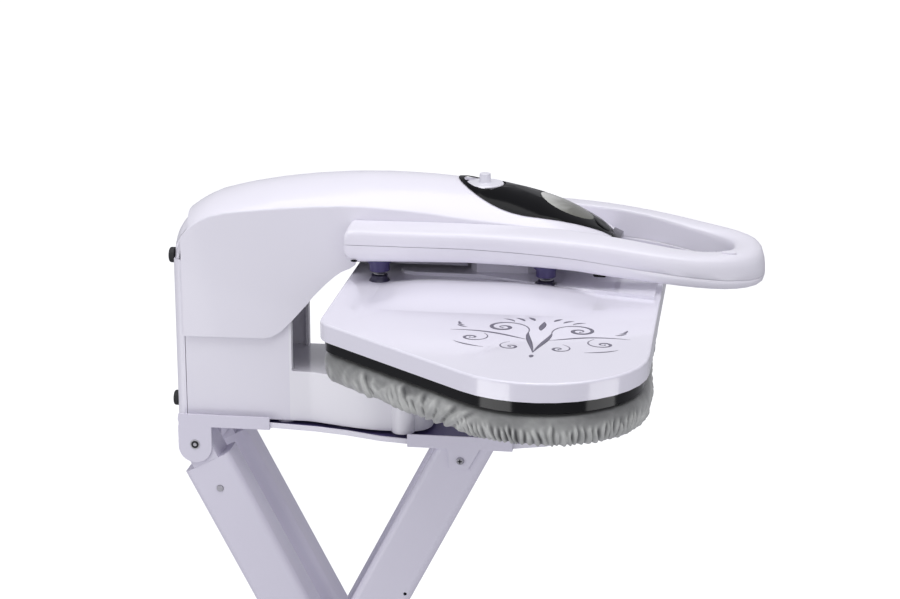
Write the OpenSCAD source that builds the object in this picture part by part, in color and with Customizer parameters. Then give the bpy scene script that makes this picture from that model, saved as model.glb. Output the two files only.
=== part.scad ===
// Steam ironing press on a folding scissor stand.
// X runs from the rear to the handle, Y along the plates, Z up; the floor is z = 0.

/* [Stand] */
// Height of the tray underside above the floor
stand_height = 740; // [700:5:780]
// Lean of each leg from the vertical when the stand is open
leg_lean = 27.3; // [26:0.1:28]
// Wide side of a leg tube
leg_w = 45; // [42:1:48]
// Narrow side of a leg tube
leg_d = 24; // [22:0.5:25]
// Narrow side of a rear leg tube
rear_leg_d = 34; // [30:0.5:35]
// Wall of a leg tube
leg_wall = 1.5; // [1.2:0.1:2]
// Corner radius of a leg tube
leg_corner = 6; // [4:0.5:7]
// Radius of the floor bars
bar_r = 16; // [14:0.5:17]
// Half length of the floor bars between their caps
bar_half = 235; // [200:5:260]
// Rubber thickness of the floor bar caps
cap_wall = 2; // [1.5:0.5:3]
// Length of a floor bar cap
cap_len = 36; // [30:1:45]
// Depth of the flat that each cap stands on
cap_flat = 0.5; // [0.3:0.1:0.8]
// Radius of the cross braces
brace_r = 9; // [7:0.5:10]
// Distance of the cross braces from the scissor pivot, along the leg
brace_from_pivot = 300; // [250:5:340]
// Radius of the scissor pivot bolt
pivot_bolt_r = 4; // [3:0.5:5]
// Washer between the two leg frames
leg_gap = 2.3; // [2:0.1:3]

/* [Brackets] */
// Distance of the rear leg pin from the rear wall
rear_pin_x = 17.5; // [16:0.5:19]
// Drop of the rear leg pin below the tray
rear_pin_drop = 18; // [17:0.5:19]
// Radius of the bracket ears round the rear leg pin
ear_r = 15; // [13:0.5:16]
// Radius of the rear leg pin
rear_pin_r = 3; // [2.5:0.5:4]
// Length of the rear bracket along X
rear_bracket_len = 82; // [70:1:90]
// Distance of the lock screw from the rear wall
lock_x = 256; // [250:1:262]
// Drop of the lock screw below the tray
lock_drop = 12; // [10:1:14]
// Length of the front bracket along X
front_bracket_len = 91; // [80:1:100]
// Height of the bracket flanges above the tray underside
flange_h = 10; // [8:0.5:12]
// Sheet of the brackets
bracket_t = 1.5; // [1.2:0.1:2]

/* [Base] */
// Half width of the pedestal
pedestal_half = 42; // [40:0.5:42.5]
// Depth of the pedestal from the rear wall to its front edge
pedestal_depth = 104; // [98:1:108]
// Half width of the housing at its widest place
housing_half = 57.5; // [54:0.5:60]
// Front end of the housing
housing_front = 228; // [220:1:235]
// Height of the glossy deck
deck_z = 51; // [46:1:54]
// Height of the housing's lower edge above the tray underside
housing_z = 5.5; // [5:0.5:8]
// Wall of the plastic shells
shell_t = 2.5; // [2:0.1:3]
// Front end of the tray
tray_front = 398; // [385:1:405]
// Half width of the tray at its widest place
tray_half = 74; // [72:0.5:75]
// Height of the tray's rim
rim_h = 4.5; // [4:0.5:5.5]
// Sheet of the tray
tray_t = 2; // [1.5:0.1:2.5]
// Radius of the rubber bumpers on the rear wall
bumper_r = 6.8; // [6:0.2:8]
// How far the bumpers stand off the rear wall
bumper_len = 5; // [4:0.5:5.5]

/* [Head] */
// Hinge axis, distance from the rear wall
hinge_x = 40; // [39:0.5:41]
// Hinge axis, height above the tray underside
hinge_z = 148; // [146:1:150]
// Radius of the hinge shaft
shaft_r = 6; // [5:0.5:7]
// Running clearance round shafts and pins
running = 0.05; // [0.03:0.01:0.08]
// Half width of the hood over the pedestal
hood_half = 46; // [45.5:0.5:48]
// Radius of the hood's round rear end about the hinge
hood_rear_r = 49.5; // [49:0.5:51]
// Half width of the handle over its outer faces
handle_half = 78; // [75:1:82]
// Front of the handle loop
handle_front = 510.5; // [500:1:520]
// Width of the handle bar at the front of the loop
handle_bar = 28; // [24:1:32]

/* [Press plate] */
// Length of the press plate along Y
plate_len = 650; // [630:5:670]
// Length of the press plate's far half, from the arm's middle
plate_far = 240; // [225:5:325]
// Rear edge of the press plate
plate_rear = 158; // [154:1:162]
// Front edge of the press plate
plate_front = 426; // [420:1:432]
// Radius of the plate's round ends
plate_end_r = 83; // [78:1:88]
// Radius of the plate's rear corners
plate_corner_r = 28; // [24:1:32]
// Half length of the straight rear edge
plate_rear_half = 178; // [165:1:190]
// Height of the plate cover's lower edge
plate_z = 127; // [126.5:0.5:128]
// Height of the plate cover's top face
plate_top = 142; // [141:0.5:143]
// Height of the raised saddle on the cover
saddle_h = 3; // [2:0.5:3.5]
// Travel of the sprung plate towards the head
float_travel = 3.5; // [2.5:0.5:3.5]
// Gap between the sole and the pad when closed
press_gap = 0.3; // [0.3:0.1:0.5]

/* [Board] */
// Height of the pad's top face
pad_top = 117; // [116:0.5:117.5]
// Underside of the perforated board
board_z = 95; // [93:0.5:97]
// Thickness of the board's steel
board_t = 1.5; // [1.2:0.1:2]
// Cloth thickness with its gathers
cloth_t = 1.6; // [1.4:0.1:2]
// Number of gathers round the cloth's hem
gathers = 28; // [20:1:28]
// Depth of the gathers
gather_depth = 1.8; // [1:0.2:2.2]
// How far the board stays inside the plate's outline
board_inset = 8.8; // [8.6:0.1:10]

/* [Console] */
// Centre of the filler plug along X
filler_x = 268.5; // [266:0.5:270]
// Radius of the filler plug's disc
filler_r = 16.5; // [15:0.5:17.5]
// Radius of the filler plug's peg
peg_r = 5; // [4:0.5:6]
// Pull of the filler plug
filler_pull = 25; // [20:1:30]
// Travel of the steam key
key_travel = 1.5; // [1:0.1:2]
// Gap round keys, windows and lids
key_gap = 0.4; // [0.3:0.1:0.6]

/* [Hidden] */
white = [0.91, 0.89, 0.95];
lilac = [0.75, 0.73, 0.82];
plum = [0.24, 0.18, 0.42];
black = [0.04, 0.04, 0.05];
steel = [0.62, 0.62, 0.64];
silver = [0.55, 0.56, 0.56];
eps = 0.01;
fa_fine = 64;

// Where the stand's lines cross
cap_r = bar_r + cap_wall;
bar_axis_z = cap_r - cap_flat - stand_height;
lean_run = tan(leg_lean);
pivot_z = -(lock_x - rear_pin_x + (rear_pin_drop + lock_drop) * lean_run) / (2 * lean_run);
pivot_x = rear_pin_x + (-rear_pin_drop - pivot_z) * lean_run;
rear_foot_x = rear_pin_x + (-rear_pin_drop - bar_axis_z) * lean_run;
front_foot_x = lock_x - (-lock_drop - bar_axis_z) * lean_run;
mid_x = (handle_front + front_foot_x - leg_w / 2 * cos(leg_lean)) / 2;
seat_gap = 0.3;
// The far half of the plate is shorter, so the press is centred between both ends
far_short = plate_len / 2 - plate_far;
mid_y = -far_short / 2;

// Planes of the legs, on the near side; the far side mirrors them
ear_out = pedestal_half + 9;
rear_leg_out = ear_out - bracket_t - seat_gap;
rear_leg_in = rear_leg_out - rear_leg_d;
front_leg_in = rear_leg_out + leg_gap;
front_leg_out = front_leg_in + leg_d;
tongue_in = front_leg_out + seat_gap;
far_ear_in = rear_leg_in - seat_gap - bracket_t;

// The hood's round rear is cut back to this angle about the hinge, so that it can swing down
hood_cut = 130;
cheek_gap = hood_half - shell_t + 0.2;

// Profile of the hood along X: top line, edge line and lower edge
hood_top_line = [[5, 183], [9, 186.6], [14, 190.3], [22, 195.6], [35, 201.6], [49, 205.6], [63, 209.2],
  [90, 214.6], [117, 218.4], [151, 221.4], [185, 222.5], [215, 222], [235, 220.8], [255, 218.9],
  [272, 216.8], [288, 214.2], [303, 211], [318, 207], [335, 200.4], [349, 194], [361, 187.5],
  [371, 181.4], [379, 175], [386, 168]];
hood_edge_line = [[5, 161.5], [9, 169], [14, 174.9], [19, 180.2], [26, 185], [35, 189], [49, 192.4],
  [72, 195.4], [100, 198], [130, 200.4], [153, 201.6], [172, 201.6], [198, 200.2], [225, 197.6],
  [251, 194.6], [275, 192.2], [300, 190.2], [320, 188.6], [335, 185.6], [353, 179.5], [370, 172],
  [386, 165]];
hood_low_line = [[9, 80.3], [80, 81], [88, 82.6], [97, 88.5], [105.6, 97.6], [119.5, 113.3],
  [125, 120.3], [136, 131.8], [144, 139], [150, 143.4], [158, 147], [162, 150], [166, 160],
  [386, 160]];
hood_stations = [5, 7, 8.5, 9, 11, 14, 19, 26, 35, 49, 63, 80, 88, 97, 105.6, 112, 119.5, 125, 136,
  144, 150, 158, 162, 166, 185, 205, 225, 245, 260, 275, 289, 303, 318, 335, 349, 361, 371, 379, 386];
// Profile of the handle along X: top, parting line and underside
rail_top_line = [[159, 186.6], [160.2, 189], [163, 190.3], [218, 190.8], [262, 190.8], [300, 190.2],
  [330, 189], [353, 187.4], [374, 185.4], [387, 183.6], [400, 181.8], [423, 178], [441, 174.9],
  [455, 172.8], [470, 171.4], [485, 170.6], [497, 170]];
rail_part_line = [[159, 176.2], [268, 176.2], [307, 174.3], [349, 171.4], [391, 165.8], [425, 160.6],
  [455, 155], [480, 150], [497, 145.5]];
rail_low_line = [[159, 166.5], [160.2, 164.5], [163, 162.4], [168, 161], [216, 162.4], [268, 163.4],
  [313, 162], [350, 160.2], [377, 156.8], [405, 153.8], [425, 151], [446, 147.4], [473, 142.6],
  [497, 138.4]];
rail_rear = 159;
loop_start = 385;
rail_stations = [159, 160.2, 163, 168, 200, 232, 262, 288, 312, 336, 355, 370];
arc_steps = 22;
loop_shape = 2.35;
console_front = 386;
console_rear = 245;

// Height of the hood's outer skin over a point of its plan
function hood_z(x, y, drop = 0) =
  let (e = lookup(x, hood_edge_line), t = lookup(x, hood_top_line))
  e + (t - e) * (1 - pow(y / hood_half, 2)) - drop;
function signed_pow(v, p) = v < 0 ? -pow(-v, p) : pow(v, p);
function reversed(list) = [for (i = [len(list) - 1:-1:0]) list[i]];

// Closed skin over a list of loops that all have the same number of points
module skin(loops) {
  n = len(loops[0]);
  m = len(loops);
  faces = concat(
    [[for (i = [0:n - 1]) i]],
    [for (k = [0:m - 2], i = [0:n - 1]) [k * n + i, (k + 1) * n + i, k * n + (i + 1) % n]],
    [for (k = [0:m - 2], i = [0:n - 1])
      [k * n + (i + 1) % n, (k + 1) * n + i, (k + 1) * n + (i + 1) % n]],
    [[for (i = [n - 1:-1:0]) (m - 1) * n + i]]);
  polyhedron(points = [for (loop = loops, p = loop) p], faces = faces, convexity = 12);
}

// A wall: each loop runs along the outside and back along the inside, and the ends are strips
module wall_skin(loops) {
  n = len(loops[0]);
  m = len(loops);
  half = n / 2;
  faces = concat(
    [for (i = [0:half - 2]) [i, i + 1, n - 2 - i]],
    [for (i = [0:half - 2]) [i, n - 2 - i, n - 1 - i]],
    [for (k = [0:m - 2], i = [0:n - 1]) [k * n + i, (k + 1) * n + i, k * n + (i + 1) % n]],
    [for (k = [0:m - 2], i = [0:n - 1])
      [k * n + (i + 1) % n, (k + 1) * n + i, (k + 1) * n + (i + 1) % n]],
    [for (i = [0:half - 2]) [(m - 1) * n + i + 1, (m - 1) * n + i, (m - 1) * n + n - 2 - i]],
    [for (i = [0:half - 2]) [(m - 1) * n + n - 2 - i, (m - 1) * n + i, (m - 1) * n + n - 1 - i]]);
  polyhedron(points = [for (loop = loops, p = loop) p], faces = faces, convexity = 12);
}

// A lining closed at both ends by a fan about a centre point
module fanned_skin(loops, first, last) {
  n = len(loops[0]);
  m = len(loops);
  faces = concat(
    [for (i = [0:n - 1]) [m * n, i, (i + 1) % n]],
    [for (k = [0:m - 2], i = [0:n - 1]) [k * n + i, (k + 1) * n + i, k * n + (i + 1) % n]],
    [for (k = [0:m - 2], i = [0:n - 1])
      [k * n + (i + 1) % n, (k + 1) * n + i, (k + 1) * n + (i + 1) % n]],
    [for (i = [0:n - 1]) [m * n + 1, (m - 1) * n + (i + 1) % n, (m - 1) * n + i]]);
  polyhedron(points = concat([for (loop = loops, p = loop) p], [first, last]), faces = faces,
    convexity = 12);
}

// Everything above the floor is drawn in the press's own frame and lifted onto the stand
module place() {
  translate([-mid_x, -mid_y, stand_height]) children();
}

module both_sides() {
  children();
  mirror([0, 1, 0]) children();
}

module along_y(y0, y1, r, fn = 64) {
  translate([0, y0, 0]) rotate([-90, 0, 0]) cylinder(r = r, h = y1 - y0, $fn = fn);
}

module round_rect(w, d, r) {
  square([w - 2 * r, d], center = true);
  square([w, d - 2 * r], center = true);
  for (sx = [-1, 1], sy = [-1, 1])
    translate([sx * (w / 2 - r), sy * (d / 2 - r)]) circle(r = r, $fn = 32);
}

// Points of an arc, from angle a to angle b
function arc_points(c, r, a, b, n) =
  [for (i = [0:n]) let (t = a + (b - a) * i / n) [c[0] + r * cos(t), c[1] + r * sin(t)]];

// Outline shared by plate, rim, sole, board, pad and cloth: two round ends and two rear corners
function end_centre() = [plate_front - plate_end_r, plate_len / 2 - plate_end_r];
function corner_centre() = [plate_rear + plate_corner_r, plate_rear_half];
function slant() =
  let (a = corner_centre(), b = end_centre(), d = norm(b - a))
  atan2(b[1] - a[1], b[0] - a[0]) + acos((plate_corner_r - plate_end_r) / d);
function outline(inset, ends = 12, corners = 5) =
  let (s = slant(), b = end_centre(), a = corner_centre(),
    half = concat(arc_points(b, plate_end_r - inset, 0, s, ends),
      arc_points(a, plate_corner_r - inset, s, 180, corners)))
  concat([for (p = half) [p[0], p[1] - far_short]], reversed([for (p = half) [p[0], -p[1]]]));
function lifted(points, z) = [for (p = points) [p[0], p[1], z]];

// Half outline of the tray and of the housing above it, mirrored by the modules that use them
tray_half_points = concat([[0, pedestal_half], [rear_bracket_len + 4, ear_out - bracket_t - 0.5],
  [127, tray_half - 20.4], [155, tray_half - 14.3], [187, tray_half - 3.7], [210, tray_half],
  [304, tray_half - 0.4], [329, tray_half - 9], [353, tray_half - 24]],
  arc_points([tray_front - 30, 10], 30, 55, 0, 5));
housing_half_points = concat([[0, pedestal_half], [118, pedestal_half], [126, pedestal_half + 1.6],
  [137, pedestal_half + 5], [162, housing_half - 3.4], [175, housing_half - 0.8], [186, housing_half]],
  arc_points([housing_front - 20, housing_half - 20], 20, 90, 0, 6));
function mirrored(half) = concat(half, reversed([for (p = half) [p[0], -p[1]]]));

module tray_outline(inset) {
  offset_pts = [for (p = mirrored(tray_half_points)) p];
  if (inset == 0) polygon(offset_pts);
  else intersection() {
    polygon([for (p = offset_pts) [p[0] * (1 - 2 * inset / tray_front) + inset,
      p[1] - inset * sign(p[1])]]);
    square([4 * tray_front, 4 * tray_half], center = true);
  }
}

module base_tray() {
  color(white) place() difference() {
    linear_extrude(rim_h) tray_outline(0);
    translate([0, 0, tray_t]) linear_extrude(rim_h) tray_outline(1.8);
    for (x = front_screw_spots, s = [-1, 1])
      translate([x, s * (front_leg_in + 10), -1]) cylinder(r = 2.5, h = 5, $fn = 24);
  }
}

front_screw_spots = [lock_x - 32.5, lock_x + 34.5];
spacer_spots = [[24, 26], [96, 30], [200, 46], [150, 34]];

module tray_spacers() {
  color(white) place() both_sides() for (p = spacer_spots)
    translate([p[0], p[1], tray_t]) cylinder(r = 7.5, h = housing_z - tray_t, $fn = 40);
}

module housing_shape(inset) {
  polygon([for (p = mirrored(housing_half_points))
    [p[0] > 10 ? p[0] - (p[0] > housing_front - 20.5 ? inset : 0) : inset, p[1] - inset * sign(p[1])]]);
}

module base_housing() {
  color(white) place() {
    difference() {
      translate([0, 0, housing_z]) linear_extrude(deck_z - housing_z) housing_shape(0);
      translate([9.5, 0, housing_z - 1]) scale([1, 1, 1]) intersection() {
        translate([-9.5, 0, 0]) linear_extrude(deck_z - housing_z + 1 - shell_t) housing_shape(shell_t);
        translate([0, -200, 0]) cube([400, 400, 200]);
      }
      translate([-1, -200, 0]) cube([10.5, 400, 200]);
      for (s = [-1, 1]) translate([housing_front + 6, s * (housing_half + 5), housing_z - 1])
        cylinder(r = 9, h = 4, $fn = 32);
    }
    both_sides() {
      difference() {
        union() {
          translate([0, pedestal_half, 0]) rotate([90, 0, 0]) linear_extrude(shell_t) {
            translate([9.5, deck_z - 1]) square([pedestal_depth - 9.5, hinge_z - 26 - deck_z]);
            translate([hinge_x, hinge_z]) circle(r = 31, $fn = 72);
            polygon([[9.5, hinge_z - 30], [pedestal_depth, hinge_z - 30],
              [pedestal_depth, hinge_z - 20], [hinge_x + 22, hinge_z + 22], [hinge_x - 22, hinge_z]]);
          }
          translate([hinge_x, 0, hinge_z]) along_y(pedestal_half - 7, pedestal_half, 13);
        }
        translate([hinge_x, 0, hinge_z]) along_y(pedestal_half - 8, pedestal_half + 1, 8);
        translate([-21, pedestal_half - 8, 0]) cube([30.5, 16, 400]);
      }
      translate([pedestal_depth - 3, pedestal_half - 7, deck_z - 1])
        cube([3, 7, hinge_z - 30 - deck_z]);
      translate([205, housing_half - 1, housing_z])
        cylinder(r = 10, h = deck_z - housing_z - 3, $fn = 48);
    }
  }
}

// Round shell about the hinge axis that the hood slides over
module rear_drum(drop) {
  translate([hinge_x, 0, hinge_z]) rotate([90, 0, 0]) rotate([0, 0, 0])
    rotate_extrude($fn = 120) rear_drum_profile(drop);
}

drum_r = hood_rear_r - shell_t - 1.5;
drum_half = pedestal_half + 0.3;
cheek_in = pedestal_half - shell_t - seat_gap;

module rear_drum_profile(drop) {
  ys = [for (i = [-8:8]) drum_half * i / 8 * (drum_half - drop * 0.5) / drum_half];
  polygon(concat([[0, ys[0]]], [for (y = ys) [drum_r - drop - 12 * pow(y / hood_half, 2), y]],
    [[0, ys[16]]]));
}

module rear_plan(inset) {
  polygon(concat(
    arc_points([7, drum_half - 7], 7 - inset, 180, 90, 6),
    [[9, drum_half - inset], [9, -drum_half + inset]],
    arc_points([7, -drum_half + 7], 7 - inset, 270, 180, 6)));
}

module rear_cover() {
  color(white) place() difference() {
    union() {
      translate([0, 0, housing_z]) linear_extrude(hinge_z - housing_z) difference() {
        rear_plan(0);
        translate([shell_t + 0.5, -drum_half + shell_t]) square([20, 2 * (drum_half - shell_t)]);
      }
      intersection() {
        difference() {
          rear_drum(0);
          rear_drum(shell_t);
        }
        translate([0, -cheek_in, hinge_z]) cube([26, 2 * cheek_in, 100]);
      }
      intersection() {
        rear_drum(0);
        translate([0, -100, hinge_z - 12]) cube([shell_t, 200, 30]);
      }
    }
    translate([-1, 0, 36]) rotate([0, 90, 0]) cylinder(r = 6, h = 12, $fn = 40);
  }
}

bumper_spots = [[30, hinge_z + 1.3], [30, 18]];

module rear_bumpers() {
  color(black) place() both_sides() for (p = bumper_spots)
    translate([-bumper_len, p[0], p[1]]) rotate([0, 90, 0]) {
      cylinder(r1 = bumper_r - 1, r2 = bumper_r, h = 1, $fn = 40);
      translate([0, 0, 1]) cylinder(r = bumper_r, h = bumper_len - 1, $fn = 40);
    }
}

module cord_gland() {
  color(black) place() translate([-4, 0, 36]) rotate([0, 90, 0]) difference() {
    union() {
      cylinder(r = 8.5, h = 4, $fn = 48);
      cylinder(r = 6, h = 12, $fn = 48);
    }
    translate([0, 0, -1]) cylinder(r = 3.6, h = 20, $fn = 32);
  }
}

module hinge_bushes() {
  color(silver) place() both_sides() translate([hinge_x, 0, hinge_z]) difference() {
    union() {
      along_y(pedestal_half - 7, pedestal_half, 8);
      along_y(pedestal_half - 8, pedestal_half - 7, 10.5);
    }
    along_y(pedestal_half - 9, pedestal_half + 1, shaft_r + running);
  }
}

post_spots = [[205, 34, deck_z], [330, 40, tray_t]];

module board_posts() {
  color(white) place() both_sides() for (p = post_spots)
    translate([p[0], p[1], p[2]]) difference() {
      union() {
        cylinder(r = 9, h = board_z - p[2], $fn = 48);
        cylinder(r1 = 13, r2 = 9, h = 8, $fn = 48);
      }
      translate([0, 0, 10]) cylinder(r = 2.5, h = board_z, $fn = 24);
    }
}

module outline_shape(inset) {
  polygon(outline(inset));
}

module board_plate() {
  pitch = 28;
  color(steel) place() difference() {
    union() {
      translate([0, 0, board_z]) linear_extrude(board_t) outline_shape(board_inset);
      translate([0, 0, board_z]) linear_extrude(5) difference() {
        outline_shape(board_inset);
        outline_shape(board_inset + board_t);
      }
    }
    for (ix = [0:6], iy = [-8:8])
      if (iy < (ix > 3 ? 7 : 5) && (iy > -7 || ix > 3))
        translate([plate_rear + 48 + pitch * ix, pitch * iy + (ix % 2) * pitch / 2, board_z - 1])
          cylinder(r = 3, h = board_t + 2, $fn = 20);
  }
}

module board_pad() {
  color([0.85, 0.83, 0.72]) place()
    for (step = [[pad_top - cloth_t - 1.5, board_inset + board_t + seat_gap],
      [pad_top - cloth_t - 0.6, 25]])
      translate([0, 0, board_z + board_t]) linear_extrude(step[0] - board_z - board_t)
        outline_shape(step[1]);
}

// Cloth: a drawn-over cover with gathers that deepen towards the hem under the board
cloth_points = 112;
edge_path = outline(0, 12, 6);
edge_run = [for (i = 0, s = 0; i <= len(edge_path);
  s = s + norm(edge_path[(i + 1) % len(edge_path)] - edge_path[i % len(edge_path)]), i = i + 1) s];
edge_x = [for (i = [0:len(edge_path)]) [edge_run[i], edge_path[i % len(edge_path)][0]]];
edge_y = [for (i = [0:len(edge_path)]) [edge_run[i], edge_path[i % len(edge_path)][1]]];
cloth_path = [for (i = [0:cloth_points - 1]) let (s = edge_run[len(edge_path)] * i / cloth_points)
  [lookup(s, edge_x), lookup(s, edge_y)]];

function cloth_ring(inset, z, depth, sag = 0) =
  [for (i = [0:cloth_points - 1]) let (
      t = cloth_path[(i + 1) % cloth_points] - cloth_path[(i + cloth_points - 1) % cloth_points],
      nrm = [t[1], -t[0]] / norm(t),
      w = 0.7 * sin(360 * gathers * i / cloth_points + 30 * sin(360 * 3 * i / cloth_points))
        + 0.3 * sin(360 * (gathers - 14) * i / cloth_points + 40),
      v = cloth_path[i] - nrm * (inset + depth * (0.5 + 0.5 * w)))
    [v[0], v[1], z - sag * (0.5 + 0.5 * w)]];

module board_cover() {
  low = board_z - 3;
  rings = [
    cloth_ring(24, pad_top - cloth_t - 0.3, 0),
    cloth_ring(9, pad_top - cloth_t - 1.2, 0),
    cloth_ring(7.2, board_z + 9, gather_depth * 0.5),
    cloth_ring(6.6, low + 1.5, gather_depth * 0.5),
    cloth_ring(18, low + 1.3, 0.4),
    cloth_ring(18, low - 0.3, 0.4, 0.6),
    cloth_ring(6.2, low - 0.5, gather_depth, 1.6),
    cloth_ring(4, low + 5, gather_depth),
    cloth_ring(4.6, pad_top - cloth_t - 3.4, gather_depth * 0.6),
    cloth_ring(8.6, pad_top - 0.8, 0.1),
    cloth_ring(24, pad_top - 0.2, 0)];
  middle = (plate_rear + plate_front) / 2;
  color(silver) place()
    fanned_skin(rings, [middle, 0, pad_top - cloth_t], [middle, 0, pad_top]);
}

module rear_brackets() {
  color(lilac) place() both_sides() difference() {
    union() {
      translate([3, ear_out - bracket_t, -bracket_t])
        cube([rear_bracket_len, bracket_t, flange_h + bracket_t]);
      translate([3, far_ear_in, -bracket_t]) cube([rear_bracket_len, ear_out - far_ear_in, bracket_t]);
      for (y0 = [ear_out - bracket_t, far_ear_in])
        translate([0, y0 + bracket_t, 0]) rotate([90, 0, 0]) linear_extrude(bracket_t) {
          translate([rear_pin_x, -rear_pin_drop - 2]) circle(r = ear_r, $fn = 64);
          translate([rear_pin_x - ear_r, -rear_pin_drop - 2])
            square([2 * ear_r, rear_pin_drop + 2 - bracket_t / 2]);
        }
    }
    translate([rear_pin_x, 0, -rear_pin_drop]) along_y(0, ear_out + 5, rear_pin_r);
    for (x = [44, 74]) translate([x, (ear_out + far_ear_in) / 2, -5]) cylinder(r = 2.6, h = 10, $fn = 24);
  }
}

module front_brackets() {
  x0 = lock_x - 44.5;
  color(lilac) place() both_sides() difference() {
    union() {
      translate([x0, tongue_in, -bracket_t]) cube([front_bracket_len, bracket_t, flange_h + bracket_t]);
      translate([x0, front_leg_in, -bracket_t])
        cube([front_bracket_len, tongue_in + bracket_t - front_leg_in, bracket_t]);
      translate([0, tongue_in + bracket_t, 0]) rotate([90, 0, 0]) linear_extrude(bracket_t)
        polygon([[lock_x - 10, 0], [lock_x + 19, 0], [lock_x + 8, -20], [lock_x - 8, -20]]);
    }
    translate([lock_x + 1.5, 0, -lock_drop]) along_y(0, tongue_in + 8, 2.6);
    for (x = front_screw_spots)
      translate([x, front_leg_in + 10, -5]) cylinder(r = 2.6, h = 10, $fn = 24);
  }
}

module pan_screw(head_r, head_h, shank_r, shank_l) {
  difference() {
    union() {
      cylinder(r1 = head_r, r2 = head_r * 0.8, h = head_h, $fn = 32);
      translate([0, 0, -shank_l]) cylinder(r = shank_r, h = shank_l + eps, $fn = 24);
    }
    for (a = [0, 90]) rotate([0, 0, a])
      translate([-head_r * 0.6, -0.4, head_h * 0.5]) cube([head_r * 1.2, 0.8, head_h]);
  }
}

module bracket_screws() {
  color(steel) place() both_sides() {
    for (x = [44, 74]) translate([x, (ear_out + far_ear_in) / 2, -bracket_t])
      cylinder(r = 2.5, h = bracket_t, $fn = 24);
    for (x = front_screw_spots) translate([x, front_leg_in + 10, -bracket_t])
      cylinder(r = 2.5, h = bracket_t + tray_t, $fn = 24);
  }
}

module rear_leg_pins() {
  color(steel) place() both_sides() translate([rear_pin_x, 0, -rear_pin_drop]) {
    along_y(far_ear_in - 1.5, ear_out, rear_pin_r - running);
    along_y(ear_out, ear_out + 0.4, 4.6);
    along_y(far_ear_in - 3, far_ear_in, 5);
  }
}

module lock_screws() {
  color(steel) place() both_sides() translate([lock_x + 1.5, tongue_in, -lock_drop])
    rotate([-90, 0, 0]) {
      cylinder(r = 2.6, h = bracket_t, $fn = 24);
      translate([0, 0, bracket_t]) pan_screw(3.6, 1.8, 2.6, 0);
    }
}

module power_board() {
  color([0.1, 0.35, 0.2]) place() {
    translate([60, -30, housing_z + 10]) cube([80, 60, 1.6]);
    translate([70, -18, housing_z + 11.6]) cube([22, 18, 16]);
    translate([104, 2, housing_z + 11.6]) cube([16, 20, 12]);
    for (x = [66, 134], y = [-26, 26]) translate([x, y, tray_t]) cylinder(r = 3, h = housing_z + 8, $fn = 24);
  }
}

module hinge_shaft() {
  color(steel) place() translate([hinge_x, 0, hinge_z]) along_y(-pedestal_half - 0.4, pedestal_half + 0.4,
    shaft_r);
}

module lift_springs() {
  color(steel) place() both_sides() translate([hinge_x, 0, hinge_z]) difference() {
    along_y(8, 29, 14);
    along_y(7, 30, 11);
  }
}

arm_out = 34;
arm_t = 3;
arm_top = 190;
arm_low = plate_top + saddle_h + float_travel + 1.5;
arm_end = 345;
neck_rear = 260;

module arm_side() {
  circle(r = 21, $fn = 72);
}

module head_arm() {
  color(silver) place() {
    both_sides() difference() {
      translate([0, arm_out, 0]) rotate([90, 0, 0]) linear_extrude(arm_t) difference() {
        union() {
          translate([hinge_x, hinge_z]) circle(r = 21, $fn = 72);
          polygon([[hinge_x - 6, hinge_z + 20], [hinge_x + 45, arm_top], [arm_end, arm_top - 20],
            [arm_end, arm_top - 26], [neck_rear - 2, arm_top - 26], [neck_rear - 2, arm_low],
            [150, arm_low], [120, arm_low - 6], [hinge_x + 18, hinge_z - 11]]);
        }
        translate([hinge_x, hinge_z]) circle(r = shaft_r, $fn = 64);
      }
    }
    difference() {
      translate([hinge_x, 0, hinge_z]) along_y(-arm_out + arm_t, arm_out - arm_t, 10);
      translate([hinge_x, 0, hinge_z]) along_y(-arm_out, arm_out, shaft_r);
    }
    translate([100, -arm_out + arm_t, arm_low + 6]) cube([neck_rear - 104, 2 * (arm_out - arm_t), arm_t]);
    translate([arm_end - 30, -arm_out + arm_t, arm_top - 25]) cube([30, 2 * (arm_out - arm_t), arm_t]);
  }
}

// One section of the hood: up one side, over the crown, down the other, and back inside
crown_steps = 12;
function hood_curve(x, t) =
  let (h = hood_half - t, low = x < 9 ? -1 : lookup(x, hood_low_line),
    edge = lookup(x, hood_edge_line) - t * 1.1,
    crown = [for (i = [0:crown_steps]) let (y = (h - 0.8) * (2 * i / crown_steps - 1))
      [x, y, hood_z(x, y * hood_half / h, t * (1 + 0.35 * pow(y / h, 2)))]],
    foot = low < 0 ? hood_z(x, hood_half, shell_t * 1.2) : low)
  concat([[x, -h, foot], [x, -h, max(foot + 0.1, min(edge, crown[0][2]) - 1.5)]], crown,
    [[x, h, max(foot + 0.1, min(edge, crown[0][2]) - 1.5)], [x, h, foot]]);
function hood_section(x) = concat(hood_curve(x, 0), reversed(hood_curve(x, shell_t)));

function console_half(x) =
  let (u = (x - console_rear) / (console_front - console_rear))
  38.5 * pow(max(sin(180 * pow(u, 0.86)), 0), 0.62);
console_steps = 22;
function console_outline(inset) =
  let (mid = (console_rear + console_front) / 2, k = (console_front - console_rear - 2 * inset)
    / (console_front - console_rear),
    half = [for (i = [0:console_steps]) let (a = 180 * i / console_steps, x = mid + (mid - console_rear) * cos(a))
      [mid + (x - mid) * k, max(console_half(x) - inset, 0)]])
  concat(half, [for (i = [console_steps - 1:-1:1]) [half[i][0], -half[i][1]]]);

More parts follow.
